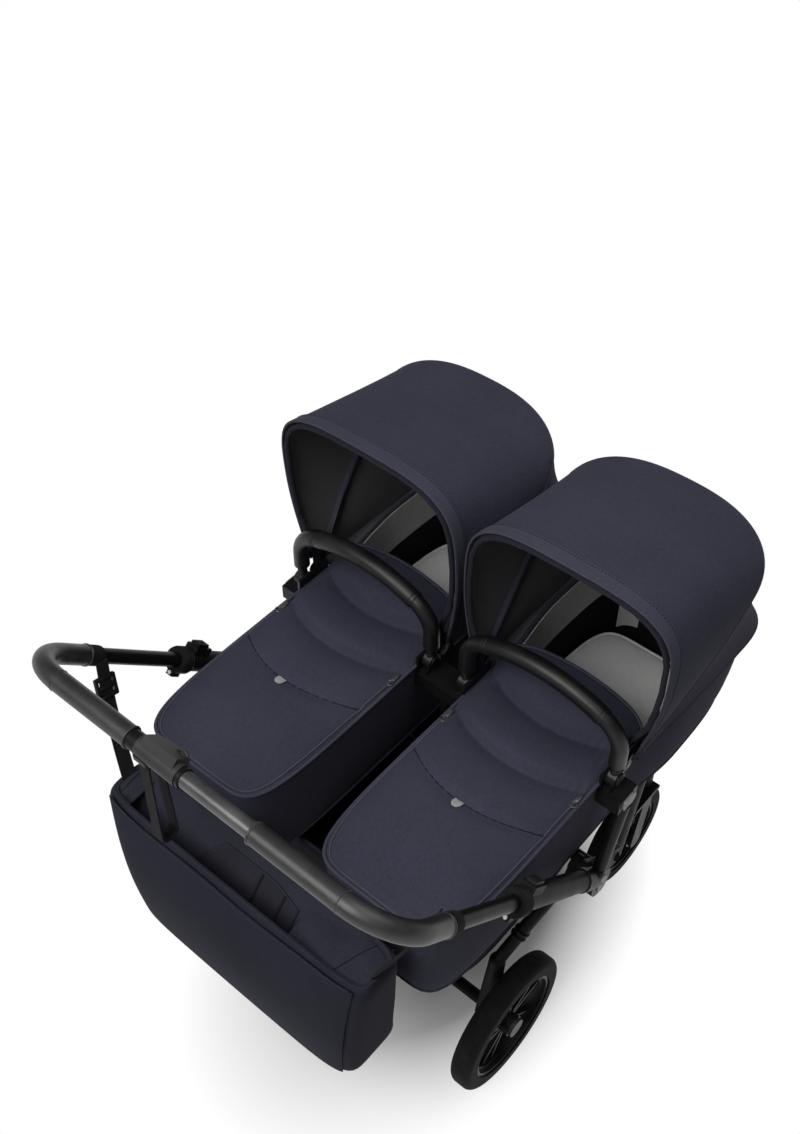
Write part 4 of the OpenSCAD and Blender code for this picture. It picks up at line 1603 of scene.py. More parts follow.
    def cover(self) -> bpy.types.Object:
        """The taut cloth, navy outside and dark inside.

        Returns:
            The cloth.
        """
        o = self.sheet(f"hood_cloth_{self.side.tag}", self.skin(), self.thick, -1, "navy_cloth",
                       "hood_lining")
        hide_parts(f"hood_cover_{self.side.tag}")
        return self.hang(o, "fabric")

    def skirt(self) -> None:
        """The strip of cloth that joins the hood's back edge to the carrycot's rim."""
        shape, focus_y, steps = CotShape(), self.skirt_focus_y, self.skirt_rows
        edge = self.row(self.back, 0.0006)

        def rim(p: Vector) -> Vector:
            """The rim's point on the line from the cot's middle to a point.

            Args:
                p: the point.

            Returns:
                The rim's point.
            """
            x, y = self.side.value * p.x - self.middle_x, p.y - focus_y
            near, far = 0.0, 1.6
            for _ in range(40):
                t = (near + far) / 2
                inside = abs(x * t) < shape.edge(focus_y + y * t, -0.0012)
                near, far = (t, far) if inside else (near, t)
            return self.side.at(self.middle_x + x * near, focus_y + y * near, shape.rim_z - 0.0055)

        ends = [rim(p) for p in edge]
        rows = []
        for j in range(steps + 1):
            t = j / steps
            dip = Vector((0, 0, self.skirt_dip * math.sin(HALF_TURN * t)))
            rows.append([p.lerp(q, t) - dip for p, q in zip(edge, ends)])
        o = self.sheet(f"hood_skirt_{self.side.tag}", rows, self.skirt_thick, -1, "navy_cloth",
                       "hood_lining")
        self.bench.fit(o, f"carrycot_{self.side.tag}", "fabric")
        f"cot_cover_{self.side.tag}"

    def rim_band(self) -> bpy.types.Object:
        """The hem that is turned over the front bow.

        Returns:
            The hem.
        """
        n = self.hem_rows
        rows = [self.ahead(-0.0004, lerp(self.hem_over, self.band, j / n)) for j in range(n + 1)]
        return self.hang(self.sheet(f"hood_hem_{self.side.tag}", rows, 0.0014, 1, "navy_piping"), "fabric")

    def rim_piping(self) -> bpy.types.Object:
        """The cord in the rim's edge."""
        line = self.ahead(0.0008, self.hem_over)
        return self.hang(cordage(f"hood_piping_{self.side.tag}", line, 0.0020), "fabric", "navy_piping")

    def rim_stitches(self) -> bpy.types.Object:
        """The hem's row of stitches."""
        line = self.ahead(-0.0019, self.band - self.stitch_in)
        return self.hang(stitching(f"hood_stitches_{self.side.tag}", line), "fabric", "thread_navy")

    def rib_seam(self) -> bpy.types.Object:
        """The welt over the middle rib."""
        line = self.row(self.rib, 0.0006)
        return self.hang(cordage(f"hood_welt_{self.side.tag}", line, 0.0017), "fabric", "navy_cloth")

    def rib_sleeve(self) -> None:
        """The sleeve that holds the middle rib inside."""
        bow = [(x, r) for x, r in self.arch(self.rib, 0.0095) if r > self.sleeve_from]
        line = [self.turned(x, r, self.rib.angle) for x, r in bow]
        o = cordage(f"hood_rib_sleeve_{self.side.tag}", line, 0.0064, round_steps=3)
        # The sleeve takes the darker navy cloth instead of the hood lining: painted shade where it stands
        # out into the light.
        self.bench.fit(o, f"hood_rib_{self.side.tag}", "lining", "navy_cloth")

    def back_hem(self) -> None:
        """The hem along the hood's back edge."""
        o = cordage(f"hood_back_hem_{self.side.tag}", self.row(self.back, 0.0010), 0.0026)
        self.hang(o, "fabric", "navy_piping")


@dataclass
class HandleTrim(Assembly):
    """Rings and seams on a carrycot's carry handle."""

    side: Side
    middle_x: float = 0.190
    pivot_y: float = 0.038
    pivot_z: float = 0.738
    post_x: float = 0.1513
    post_r: float = 0.0082
    grip_half: float = 0.115
    grip_r: float = 0.016
    grip_sag: float = 0.024
    top: float = 0.147
    ribs: int = 5
    rib_from: float = 0.012
    rib_pitch: float = 0.0044
    seams: tuple[float, ...] = (0.93, 0.985)
    stitched: float = 0.89
    line_steps: int = 40

    @property
    def body(self) -> str:
        """The body it rides on."""
        return f"carry_handle_{self.side.tag}"

    def grip_line(self, t: float) -> tuple[Vector, Vector]:
        """A point of the grip's arc and its direction, at t from -1 to 1.

        Args:
            t: share along the grip, from -1 to 1.

        Returns:
            The point and the direction.
        """
        r = (self.grip_half**2 + self.grip_sag**2) / (2 * self.grip_sag)
        a = t * math.asin(self.grip_half / r)
        x, z = r * math.sin(a), self.pivot_z + self.top - r + r * math.cos(a)
        return (self.side.at(self.middle_x + x, self.pivot_y, z),
                Vector((self.side.value * math.cos(a), 0, -math.sin(a))))

    def build(self) -> None:
        """Make the handle's small pieces."""
        side = self.side
        for k, end in ((0, -1), (1, 1)):
            x = self.middle_x + end * self.post_x
            for j in range(self.ribs):
                spot = side.at(x, self.pivot_y, self.pivot_z + self.rib_from + self.rib_pitch * j)
                o = ring(f"handle_rib_{j}_{k}_{side.tag}", spot, UP, self.post_r - 0.0006, 0.0014,
                         around=28)
                self.fit(o, "plastic", "black_plastic")
            o = button(f"handle_boss_{k}_{side.tag}",
                       side.at(x + end * 0.0086, self.pivot_y, self.pivot_z),
                       Vector((side.value * end, 0, 0)), 0.0125, 0.0035, 0.0012)
            self.fit(o, "plastic", "black_plastic")
            for j, t in enumerate(self.seams):
                spot, way = self.grip_line(end * t)
                o = ring(f"handle_seam_{j}_{k}_{side.tag}", spot, way, self.grip_r - 0.0003, 0.0011)
                self.fit(o, "grip", "handle_leather")
        n, under = self.line_steps, Vector((0, 0, -self.grip_r - 0.0002))
        line = [self.grip_line(i / n * self.stitched)[0] + under for i in range(-n, n + 1)]
        o = stitching(f"handle_stitches_{side.tag}", line, pitch=0.005)
        self.fit(o, "grip", "black_plastic")


@dataclass
class Bag(Assembly):
    """The open changing bag that hangs from the handlebar's arms."""

    top_half: float = 0.280
    foot_half: float = 0.246
    top_z: float = 0.716
    foot_z: float = 0.386
    back_y: float = -0.506
    bulge: float = 0.012
    top_deep: float = 0.102
    foot_deep: float = 0.132
    fold_z: float = 0.640
    fold_deep: float = 0.028
    fold_low: float = 0.540
    wall_in: float = 0.0125
    square_x: float = 8
    square_y: float = 6
    wave: float = 0.0016
    cloth_thick: float = 0.0016
    body_cut: tuple[float, float] = (0.48, 0.90)
    fold_cut: tuple[float, float] = (0.54, 0.19)
    pocket_cut: tuple[float, float] = (0.235, 0.125)
    panel_share: float = 0.93
    pocket_ends: tuple[float, float] = (-0.135, 0.100)
    pocket_low: float = 0.580
    tapes: tuple[float, ...] = (0.020, 0.070)
    strap_wide: float = 0.025
    strap_thick: float = 0.0024
    strap_u: float = 0.555
    loop_r: float = 0.0154
    buckle_share: float = 0.22
    body: str = "handlebar"
    arms: Arms = Arms()

    FLAPS = (("bag_lid", 0.118, 0.2665, 0.016), ("bag_gusset", -0.238, -0.2665, 0.010))
    LOOP = ((-0.013, 0.9), (-0.013, 1.06), (-0.009, 1.1), (0.009, 1.1), (0.013, 1.06), (0.013, 0.9))

    def share(self, z: float) -> float:
        """Share of the bag's height at z."""
        return (z - self.foot_z) / (self.top_z - self.foot_z)

    def back(self, z: float) -> float:
        """Place of the bag's back face at a height."""
        return self.back_y - self.bulge * math.sin(HALF_TURN * self.share(z))

    def front(self, z: float) -> float:
        """Place of the face towards the cots at a height."""
        return self.back_y + lerp(self.foot_deep, self.top_deep, self.share(z))

    def half(self, z: float) -> float:
        """Half width at a height."""
        return lerp(self.foot_half, self.top_half, self.share(z))

    def middle(self, z: float) -> float:
        """Place of the bag's middle at a height."""
        return (self.back(z) + self.front(z)) / 2

    def deep(self, z: float) -> float:
        """Half of the bag's depth at a height."""
        return (self.front(z) - self.back(z)) / 2

    def ring(self, z: float, inset: float, count: int = 144) -> Points:
        """One ring of the bag, with the slight waves of a soft wall.

        Args:
            z: its height.
            inset: how far it is drawn in.
            count: how many points.

        Returns:
            The points.
        """
        soft = self.wave * math.sin(HALF_TURN * max(0.0, min(1.0, self.share(z))))
        line = []
        for x, y in squared(self.half(z) - inset, self.deep(z) - inset, self.square_x, self.square_y):
            line.append(Vector((x, self.middle(z) + y + soft * math.sin(x * 31 + z * 22), z)))
        return even(line, count + 1)[:-1]

    def build(self) -> None:
        """Make the bag and what is sewn to it."""
        self.shell()
        self.panel()
        self.fold()
        self.inside()
        self.lid()
        self.straps()

    def shell(self) -> None:
        """The shell with its open mouth, and its piped corners."""
        f, t, steps = self.foot_z, self.top_z, 12
        wall = [(f, 0.060), (f + 0.0005, 0.034), (f + 0.004, 0.020), (f + 0.012, 0.009), (f + 0.024, 0.003)]
        wall += [(lerp(f + 0.036, t - 0.016, k / steps), 0.0) for k in range(steps + 1)]
        wall += [(t - 0.006, 0.0030), (t - 0.001, 0.0065), (t, 0.0105), (t - 0.001, 0.0135),
                 (t - 0.010, 0.0120), (t - 0.030, 0.0100), (t - 0.100, 0.0095), (t - 0.200, 0.0100),
                 (f + 0.040, 0.0110), (f + 0.016, 0.036), (f + 0.0155, 0.060)]
        o = loft("bag_body", [self.ring(z, inset) for z, inset in wall])
        shade(o, Edge.MOULDED)
        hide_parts("bag_shell")
        # The shell takes the darker copy of the bag cloth, painted shade on its walls.
        self.fit(o, "fabric", "bag_face")
        for name, z, inset in (("bag_top_piping", t - 0.0005, 0.0085),
                               ("bag_foot_piping", f + 0.013, 0.0082)):
            self.cord(name, self.ring(z, inset, 260), 0.0020, "fabric", "bag_cloth", closed=True)
        out_x, out_y = bend(math.sqrt(0.5), self.square_x), bend(math.sqrt(0.5), self.square_y)
        heights = [lerp(f + 0.030, t - 0.010, i / 40) for i in range(41)]
        for k, (x, y) in enumerate(((-1, -1), (1, -1), (-1, 1), (1, 1))):
            line = [Vector((x * self.half(z) * out_x, self.middle(z) + y * self.deep(z) * out_y, z))
                    for z in heights]
            self.cord(f"bag_corner_piping_{k}", line, 0.0018, "fabric", "bag_cloth")

    def mouth(self, u: float) -> float:
        """Height of the outer panel's hem at a share u across."""
        q = 2 * u - 1
        return self.top_z + 0.0015 - 0.004 * (1 - q * q) - 0.002 * math.sin(q * 7)

    def wall(self, u: float, v: float) -> Vector:
        """A point on the bag's back wall, under the outer panel.

        Args:
            u: share across, from 0 to 1.
            v: share along, from 0 to 1.

        Returns:
            The point.
        """
        z = lerp(self.foot_z + 0.030, self.mouth(u), v)
        across = (2 * u - 1) * self.panel_share
        out = self.deep(z) * (1 - abs(across) ** self.square_x) ** (1 / self.square_y) + 0.0018
        return Vector((across * self.half(z), self.middle(z) - out, z))

    def face(self, u: float, v: float) -> Vector:
        """A point on the outside of the outer panel."""
        out = 0.0008 + 0.0086 * math.sin(HALF_TURN * u) ** 0.6 * math.sin(math.radians(15 + 140 * v))
        return self.wall(u, v) - Vector((0, out, 0))

    def panel(self) -> None:
        """The tall outer panel with its hem."""
        o = pillow("bag_panel", 72, 40, self.face, self.wall)
        shade(o, Edge.MOULDED)
        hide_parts("bag_pocket")
        # The panel takes the darker copy of the bag cloth, painted shade on its outer face.
        self.fit(o, "fabric", "bag_face")
        line = [self.face(lerp(0.01, 0.99, k / 90), 1.0) + Vector((0, 0.001, -0.0006)) for k in range(91)]
        self.cord("bag_panel_hem", line, 0.0016, "fabric", "bag_cloth")

    def slope(self, z: float) -> float:
        """Place of the lining's fold across the mouth at a height.

        Args:
            z: the height.

        Returns:
            The place.
        """
        foot, high = self.fold_z, self.top_z - 0.004
        y0, y1 = self.back_y + self.fold_deep, self.front(high) - self.wall_in
        return lerp(y0, y1, max(0.0, (z - foot) / (high - foot)) ** 1.3)

    def fold(self) -> None:
        """The lining's fold, sloping in from the rim towards the cots."""
        low, high = self.fold_low, self.top_z - 0.004

        def place(u: float, v: float) -> Vector:
            """A point of the fold.

            Args:
                u: share across, from 0 to 1.
                v: share along, from 0 to 1.

            Returns:
                The point.
            """
            z = lerp(low, high, v)
            x = (2 * u - 1) * (self.half(z) - self.wall_in)
            return Vector((x, self.slope(z) + 0.002 * math.sin(18 * u + 9 * v) * (1 - v), z))

        o = panel("bag_fold", (60, 30), place, Vector((0, 0, 0.5)), self.cloth_thick)
        self.fit(o, "fabric", "bag_cloth")

    def inside(self) -> None:
        """The dark pocket on the lining's fold, with its dividing tapes."""
        (x0, x1), low = self.pocket_ends, self.pocket_low

        def top(x: float) -> float:
            """Height of the pocket's curved edge."""
            rise = ease((x - x0) / 0.075)
            return lerp(0.630, 0.700, rise) - 0.014 * ease((x - 0.03) / 0.095)

        def place(u: float, v: float) -> Vector:
            """A point of the pocket, standing off the fold in its middle.

            Args:
                u: share across, from 0 to 1.
                v: share along, from 0 to 1.

            Returns:
                The point.
            """
            x = lerp(x0, x1, u)
            z = lerp(low, top(x), v)
            return Vector((x, self.slope(z) - 0.0042 - 0.003 * math.sin(HALF_TURN * u) * v, z))

        o = panel("bag_inner_pocket", (40, 20), place, Vector((0, 0, 0.6)), self.cloth_thick)
        self.fit(o, "lining", "bag_lining")
        line = [place(k / 60, 1.0) for k in range(61)]
        self.cord("bag_inner_piping", line, 0.0016, "lining", "bag_cloth")
        for k, x in enumerate(self.tapes):
            u, out = (x - x0) / (x1 - x0), Vector((0, 0.0012, 0))
            tape = [place(u, 0.3 + 0.7 * i / 20) - out for i in range(21)]
            self.cord(f"bag_divider_{k}", tape, 0.0026, "lining", "strap_webbing")

    def lid(self) -> None:
        """The lid folded in at the right end, and the gusset at the left."""
        y0, y1 = self.back_y + self.wall_in, self.back_y + self.top_deep - self.wall_in
        for name, x0, x1, drop in self.FLAPS:

            def top(u: float, v: float) -> Vector:
                """The upper side, sloping to its free edge.

                Args:
                    u: share across, from 0 to 1.
                    v: share along, from 0 to 1.

                Returns:
                    The point.
                """
                x, y = lerp(x0, x1, u), lerp(y0, y1, v)
                z = self.top_z - 0.007 - drop * (1 - ease(u * 1.2)) + 0.005 * math.sin(HALF_TURN * v)
                return Vector((x, y, z - 0.0015 * math.sin(9 * u + 5 * v)))

            o = pillow(name, 28, 20, top, lambda u, v: top(u, v) - Vector((0, 0, 0.007)))
            modify(o, "BEVEL", width=0.0022, segments=2, limit_method="ANGLE", angle_limit=math.radians(50))
            shade(o, Edge.MOULDED)
            self.fit(o, "fabric", "bag_cloth")
            edge = [top(0.0, k / 30) + Vector((0, 0, -0.0035)) for k in range(31)]
            self.cord(name + "_piping", edge, 0.0036, "fabric", "bag_cloth")
            seam = [top(lerp(0.62, 0.80, k / 30), k / 30) + Vector((0, 0, 0.0004)) for k in range(31)]
            self.cord(name + "_seam", seam, 0.0012, "fabric", "thread_navy")

    def straps(self) -> None:
        """The webbing straps with their loops and buckles."""
        arms, u = self.arms, self.strap_u
        y, z = arms.hinge_y - u * math.sin(arms.tilt), arms.hinge_z + u * math.cos(arms.tilt)
        high = Vector((arms.x - 0.022, y, z))
        low = Vector((self.top_half - 0.014, self.back_y + self.top_deep / 2, self.top_z + 0.0003))
        for side in Side:

            def place(a: float, b: float) -> Vector:
                """A point of the flat strap, slack by a little.

                Args:
                    a: share across, from 0 to 1.
                    b: share along, from 0 to 1.

                Returns:
                    The point.
                """
                q = high.lerp(low, b)
                slack = 0.006 * math.sin(HALF_TURN * b)
                return side.at(q.x + slack, q.y + (2 * a - 1) * lerp(0.011, 0.013, b), q.z)

            o = panel(f"bag_webbing_{side.tag}", (8, 40), place, Vector((0, -0.45, 0.8)), self.strap_thick)
            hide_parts(f"bag_strap_{side.tag}")
            self.fit(o, "webbing", "strap_webbing")
            turns = [2 * HALF_TURN * k / DISC_SIDES for k in range(DISC_SIDES)]
            around = [self.loop_r * Vector((math.cos(a), math.sin(a), 0)) for a in turns]
            rows = [[arms.frame @ (p * wide + side.at(arms.x, 0, u + z)) for p in around]
                    for z, wide in self.LOOP]
            o = loft(f"bag_loop_{side.tag}", rows, caps=False)
            shade(o, Edge.MOULDED)
            self.fit(o, "webbing", "strap_webbing")
            self.buckle(side, high.lerp(low, self.buckle_share), low - high)

    def buckle(self, side: Side, spot: Vector, way: Vector) -> None:
        """The ladder buckle on a strap.

        Args:
            side: the strap's side.
            spot: its place on the right strap.
            way: the right strap's direction.
        """
        place = aimed(side.at(spot.x + 0.004, spot.y, spot.z), side.at(*way), -UP)
        bar, cheek = Vector((0.0042, 0.017, 0.0032)), Vector((0.0040, 0.0028, 0.019))
        pieces = [(f"bar_{k}", Vector((0, 0, z)), bar) for k, z in enumerate((-0.016, 0.0, 0.016))]
        pieces += [(f"side_{k}", Vector((0, y, 0)), cheek) for k, y in enumerate((-0.0165, 0.0165))]
        for name, centre, reach in pieces:
            o = block(f"bag_buckle_{name}_{side.tag}", centre - reach, centre + reach, 0.0016, place)
            self.fit(o, "plastic", "black_plastic")


@dataclass
class Basket(Assembly):
    """The cloth basket under the cots."""

    half: float = 0.242
    low_z: float = 0.240
    rim_z: float = 0.4577
    back_y: float = -0.248
    front_y: float = 0.225
    square: float = 5
    cut: tuple[float, float] = (0.61, 0.90)
    body: str = "upper_frame"

    def ring(self, z: float, inset: float, count: int = 132) -> Points:
        """One ring of the basket, drawn in between its corners.

        Args:
            z: its height.
            inset: how far it is drawn in.
            count: how many points.

        Returns:
            The points.
        """
        middle, reach = (self.front_y + self.back_y) / 2, (self.front_y - self.back_y) / 2 - inset
        line = [Vector((x, middle + y, z))
                for x, y in squared(self.half - inset, reach, self.square, self.square)]
        return even(line, count + 1)[:-1]

    def build(self) -> None:
        """Make the basket and its seams."""
        b, r = self.low_z, self.rim_z
        wall = [(b, 0.050), (b + 0.001, 0.030), (b + 0.006, 0.018), (b + 0.020, 0.0065), (b + 0.05, 0.004),
                (b + 0.10, 0.005), (b + 0.15, 0.004), (r - 0.03, 0.0015), (r - 0.004, 0.0), (r, 0.002),
                (r, 0.005), (r - 0.03, 0.0062), (b + 0.10, 0.0085), (b + 0.022, 0.0120), (b + 0.008, 0.024),
                (b + 0.0045, 0.050)]
        o = loft("basket_cloth", [self.ring(z, inset) for z, inset in wall])
        shade(o, Edge.MOULDED)
        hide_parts("basket")
        self.fit(o, "fabric", "bag_cloth")
        for name, z, inset, thick in (("basket_rim_piping", r - 0.002, 0.0005, 0.003),
                                      ("basket_foot_piping", b + 0.020, 0.0062, 0.0024)):
            self.cord(name, self.ring(z, inset, 220), thick, "fabric", "navy_piping", closed=True)


@dataclass
class Handlebar(Assembly):
    """Small pieces on the handlebar: seams, wrist strap and the clamp's trim."""

    arms: Arms = Arms()
    arm_length: float = 0.711
    bend_r: float = 0.085
    grip_r: float = 0.017
    grip_gap: float = 0.118
    grip_end: float = 0.570
    clamp_x: float = -0.059
    clamp_l: float = 0.080
    clamp_r: float = 0.017
    strap_drop: float = 0.195
    strap_half: float = 0.010
    strap_long: float = 0.42
    strap_thick: float = 0.0026
    strap_rows: int = 120
    strap_bends: tuple[float, float] = (0.0117, 0.0147)
    cuff_r: float = 0.0024
    body: str = "handlebar"

    @property
    def bar(self) -> Vector:
        """The middle of the crossbar."""
        return self.arms.frame @ Vector((0, 0, self.arm_length))

    def build(self) -> None:
        """Make the handlebar's small pieces."""
        self.grip_seams()
        self.clamp_trim()
        self.wrist_strap()

    def grip_seams(self) -> None:
        """Cuffs at the grips' ends and the sewn joint in their run."""
        m, r, long = self.arms.frame, self.grip_r, self.arm_length
        cross, along = m.to_3x3() @ Vector((1, 0, 0)), m.to_3x3() @ UP
        start, joint = self.grip_gap, self.arms.x - self.bend_r
        for side in Side:
            spots = [("inner", side.at(start + 0.002, 0, long), cross, r - 0.001, self.cuff_r),
                     ("outer", side.at(self.arms.x, 0, self.grip_end + 0.002), along, r - 0.001,
                      self.cuff_r),
                     ("joint", side.at(joint, 0, long), cross, r, 0.0008)]
            for name, spot, way, radius, thick in spots:
                o = ring(f"grip_{name}_cuff_{side.tag}", m @ spot, way, radius, thick)
                self.fit(o, "grip", "grip_leather")
            line = [m @ side.at(lerp(start + 0.006, joint, k / 80), -0.0045, long - r * 0.97)
                    for k in range(81)]
            o = stitching(f"grip_stitches_{side.tag}", line, pitch=0.005)
            self.fit(o, "grip", "black_plastic")

    def wrist_strap(self) -> None:
        """The flat loop that hangs from the clamp."""
        top = Vector((self.clamp_x - 0.026, self.bar.y, self.bar.z - self.clamp_r - 0.0003))
        (small, big), drop, half, rows = self.strap_bends, self.strap_drop, self.strap_half, self.strap_rows
        loop = []
        for k in range(41):
            a = HALF_TURN * k / 40
            loop.append(Vector((0, small * math.cos(a), -0.013 + small * math.sin(a))))
        for k in range(41):
            a = HALF_TURN + HALF_TURN * k / 40
            loop.append(Vector((0, big * math.cos(a), -drop + 0.016 + big * math.sin(a))))
        loop.append(loop[0])
        line = even(loop, rows + 1)

        def place(u: float, v: float) -> Vector:
            """A point of the webbing."""
            return top + line[round(v * rows) % rows] + Vector(((2 * u - 1) * half, 0, 0))

        o = grid("wrist_loop", 6, rows, place)
        weld(o, 1e-6)
        modify(o, "SOLIDIFY", thickness=self.strap_thick, offset=0)
        shade(o, Edge.MOULDED)
        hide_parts("wrist_strap")
        self.fit(o, "webbing", "strap_webbing")

    def clamp_trim(self) -> None:
        """Sleeves beside the clamp, its slot for the strap and its tab."""
        y, z, x = self.bar.y, self.bar.z, self.clamp_x
        left, right = x - self.clamp_l / 2, x + self.clamp_l / 2
        for name, x0, x1, r in (("clamp_sleeve", -self.grip_gap + 0.001, left, 0.0155),
                                ("clamp_collar", right, right + 0.007, 0.0158)):
            o = self.cord(name, [Vector((x0, y, z)), Vector((x1, y, z))], r, "plastic", "black_plastic",
                          round_steps=7)
            shade(o, Edge.MOULDED)
        low, high = Vector((x - 0.039, y - 0.0185, z - 0.0130)), Vector((x - 0.013, y - 0.0095, z - 0.0010))
        self.fit(block("clamp_slot", low, high, 0.0018), "plastic", "black_plastic")
        arc = []
        for k in range(25):
            a = HALF_TURN * k / 24
            spot = Vector((x + 0.018 + 0.010 * math.cos(a), 0.019 + 0.007 * math.sin(a),
                           self.arm_length - 0.013))
            arc.append(self.arms.frame @ spot)
        self.cord("clamp_tab", arc, 0.0024, "plastic", "clamp_plastic")


@dataclass
class FrameTrim:
    """Finishes of the frame's solids, and its rings, caps and ridges."""

    bench: Bench
    arms: Arms = Arms()
    sleeve_r: float = 0.019
    sleeve_end: float = 0.342
    lever_u: float = 0.296
    elbow_x: float = 0.378
    ridges: int = 4
    leg_r: float = 0.012
    leg_rings: tuple[float, ...] = (0.06, 0.12, 0.60, 0.66)
    leg_foot: Vector = field(default_factory=lambda: Vector((0.269, -0.137, 0.300)))
    leg_start: Vector = field(default_factory=lambda: Vector((0.317, -0.035, 0.480)))

    FINISH = {
        "black_tube": ("sleeve", "seat_beam", "rear_crossbar", "front_crossbar", "front_leg", "rear_leg"),
        "bare_tube": ("handlebar_tube",),
        "black_plastic": ("main_hinge", "thumb_lever", "brake_pedal", "caster_fork", "adaptor",
                          "centre_adaptor", "hood_rib"),
        # The hood's bow takes the dark bag lining: painted shade, so that it reads as the lining in shadow
        # inside the rim.
        "bag_lining": ("hood_bow",),
        "gloss_plastic": ("cot_brackets",),
        "clamp_plastic": ("width_clamp",),
        "wheel_plastic": ("rear_rim", "front_rim"),
        "hub_plastic": ("rear_hubcap",),
        "grip_leather": ("grip",),
        "handle_leather": ("handle_grip", "carry_handle"),
        "cap_grey": ("release_cap",),
        "rear_tyre_foam": ("rear_tyre",),
        "front_tyre_foam": ("front_tyre",),
    }

    def dress_nodes(self, nodes: dict[str, bpy.types.Object]) -> None:
        """Give each solid that stays its finish.

        Args:
            nodes: the solids by name.
        """
        finish_of = {base: finish for finish, bases in self.FINISH.items() for base in bases}
        for name, o in nodes.items():
            base = name.removesuffix("_left").removesuffix("_right")
            if base in finish_of:
                self.bench.finishes.dress(o, finish_of[base])
                shade(o, Edge.MOULDED)

    def build(self) -> None:
        """Make the frame's small pieces on both sides."""
        for side in Side:
            self.sleeve(side)
            self.lever(side)
            hinge = side.at(self.elbow_x - 0.0005, self.arms.hinge_y, self.arms.hinge_z)
            o = button(f"elbow_cap_{side.tag}", hinge, side.at(1, 0, 0), 0.0165, 0.0035, 0.0014,
                       (1.25, 0.85))
            self.bench.fit(o, "upper_frame", "cap", "cap_grey")
            way = self.leg_foot - self.leg_start
            for k, t in enumerate(self.leg_rings):
                p = self.leg_start + way * t
                o = ring(f"leg_ring_{k}_{side.tag}", side.at(*p), side.at(*way), self.leg_r + 0.0006,
                         0.0028)
                self.bench.fit(o, "rear_legs", "plastic", "black_plastic")

    def sleeve(self, side: Side) -> None:
        """The ridges round a sleeve's mouth and the white dot beside it.

        Args:
            side: the side it is on.
        """
        m, end = self.arms.frame, self.sleeve_end
        along = m.to_3x3() @ UP
        for k in range(self.ridges):
            spot = m @ side.at(self.arms.x, 0, end - 0.004 - 0.006 * k)
            o = ring(f"sleeve_ridge_{k}_{side.tag}", spot, along, self.sleeve_r + 0.0036, 0.0016)
            self.bench.fit(o, "upper_frame", "plastic", "black_plastic")
        spot = m @ side.at(self.arms.x, -self.sleeve_r - 0.0055, end)
        o = button(f"sleeve_dot_{side.tag}", spot, along, 0.0036, 0.0022, 0.0008)
        self.bench.fit(o, "upper_frame", "cap", "dot_white")

    def lever(self, side: Side) -> None:
        """The ridges on a thumb lever.

        Args:
            side: the side it is on.
        """
        reach = Vector((0.0075, 0.0010, 0.0012))
        for k in range(self.ridges):
            spot = side.at(self.arms.x, 0.0362, self.lever_u - 0.0095 + 0.0063 * k)
            o = block(f"lever_ridge_{k}_{side.tag}", spot - reach, spot + reach, 0.0007, self.arms.frame)
            self.bench.fit(o, f"thumb_lever_{side.tag}", "plastic", "black_plastic")


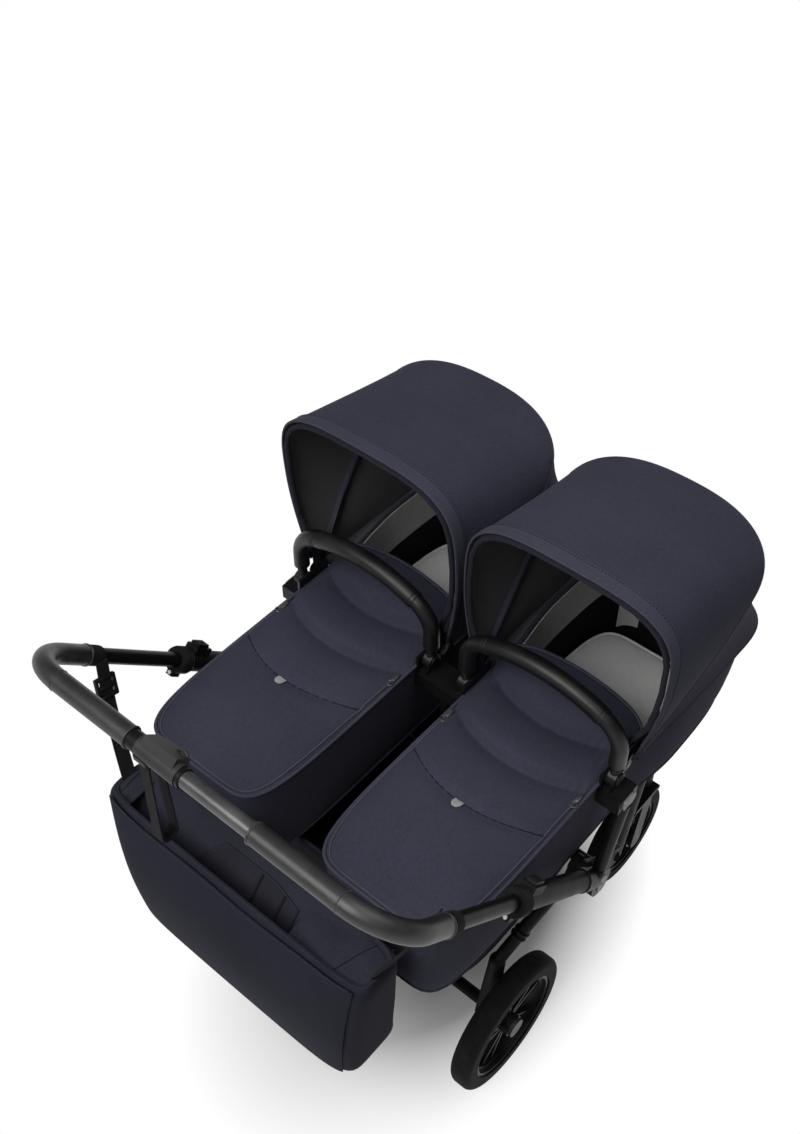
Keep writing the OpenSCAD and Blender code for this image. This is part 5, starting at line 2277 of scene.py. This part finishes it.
@dataclass
class Studio:
    """Camera, floor and light."""

    place: RGB = (0.8847, -1.1319, 2.4925)
    tilt: float = 44.296
    swing: float = 40.338
    lens: float = 42.16
    shadow: RGB = (0.40, 0.60, 1.0)
    floor_size: float = 60
    surround: float = 0.15
    aim_z: float = 0.6

    LAMPS = (("key", (-0.2, -2.5, 3.5), 2.6, 122), ("overhead", (0.9, 0.5, 4.0), 2.4, 42))

    def build(self) -> None:
        """Set the studio up."""
        self.camera()
        self.floor()
        self.lamps()
        self.world()
        bpy.context.scene.view_settings.view_transform = "Standard"

    def camera(self) -> None:
        """The camera at the photograph's place."""
        data = bpy.data.cameras.new("camera")
        data.lens = self.lens
        data.clip_end = 100
        o = link("camera", data)
        o.location = self.place
        o.rotation_euler = (math.radians(self.tilt), 0, math.radians(self.swing))
        bpy.context.scene.camera = o

    def floor(self) -> None:
        """A white floor that keeps the stroller's shadow and is plain white further out."""
        deselect()
        bpy.ops.mesh.primitive_plane_add(size=self.floor_size)
        o = name_new("floor")
        p = Paint.named("floor_white")
        seen = p.node("ShaderNodeLightPath", out="Is Camera Ray")
        mirrored = p.node("ShaderNodeLightPath", out="Is Glossy Ray")
        spot = p.node("ShaderNodeVectorMath", {"operation": "DIVIDE"}, {0: p.place(), 1: self.shadow},
                      out="Vector")
        away = p.node("ShaderNodeVectorMath", {"operation": "LENGTH"}, {0: spot}, out="Value")
        share = (seen + mirrored) * p.span(away, 0.55, 1.0)
        tone = p.blend(seen, (0.4, 0.4, 0.4), (0.86, 0.86, 0.86))
        matt = p.node("ShaderNodeBsdfDiffuse", None, {"Color": tone})
        white = p.node("ShaderNodeEmission", None, {"Color": (1, 1, 1, 1), "Strength": 1.0})
        p.close(p.node("ShaderNodeMixShader", None, {0: share, 1: matt, 2: white}))
        o.data.materials.append(p.owner)

    def lamps(self) -> None:
        """A large soft light high behind the handlebar and another overhead."""
        for name, spot, size, power in self.LAMPS:
            data = bpy.data.lights.new(name, "AREA")
            data.shape = "DISK"
            data.size = size
            data.energy = power
            o = link(name, data)
            o.location = spot
            way = Vector((0, 0, self.aim_z)) - Vector(spot)
            o.rotation_euler = way.to_track_quat("-Z", "Y").to_euler()

    def world(self) -> None:
        """A white surround, dimmer as a light than as a background."""
        p = Paint(bpy.data.worlds.new("studio"))
        seen = p.node("ShaderNodeLightPath", out="Is Camera Ray")
        level = p.span(seen, 0.0, 1.0, self.surround, 1.0)
        back = p.node("ShaderNodeBackground", None, {"Color": (1, 1, 1, 1), "Strength": level})
        p.close(back, "ShaderNodeOutputWorld")
        bpy.context.scene.world = p.owner


def main() -> None:
    """Build the studio and every sub-assembly, and log how many pieces were made."""
    logging.basicConfig(level=logging.INFO, format="%(name)s: %(message)s")
    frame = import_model()
    Studio().build()
    bench = Bench(Finishes())
    trim = FrameTrim(bench)
    trim.dress_nodes(frame["nodes"])
    trim.build()
    Handlebar(bench).build()
    Bag(bench).build()
    Basket(bench).build()
    for side in Side:
        Carrycot(bench, side).build()
        Apron(bench, side).build()
        Hood(bench, side).build()
        HandleTrim(bench, side).build()
    bpy.context.view_layer.update()
    LOG.info("%d pieces made", len(bench.made))


if __name__ == "__main__":
    main()
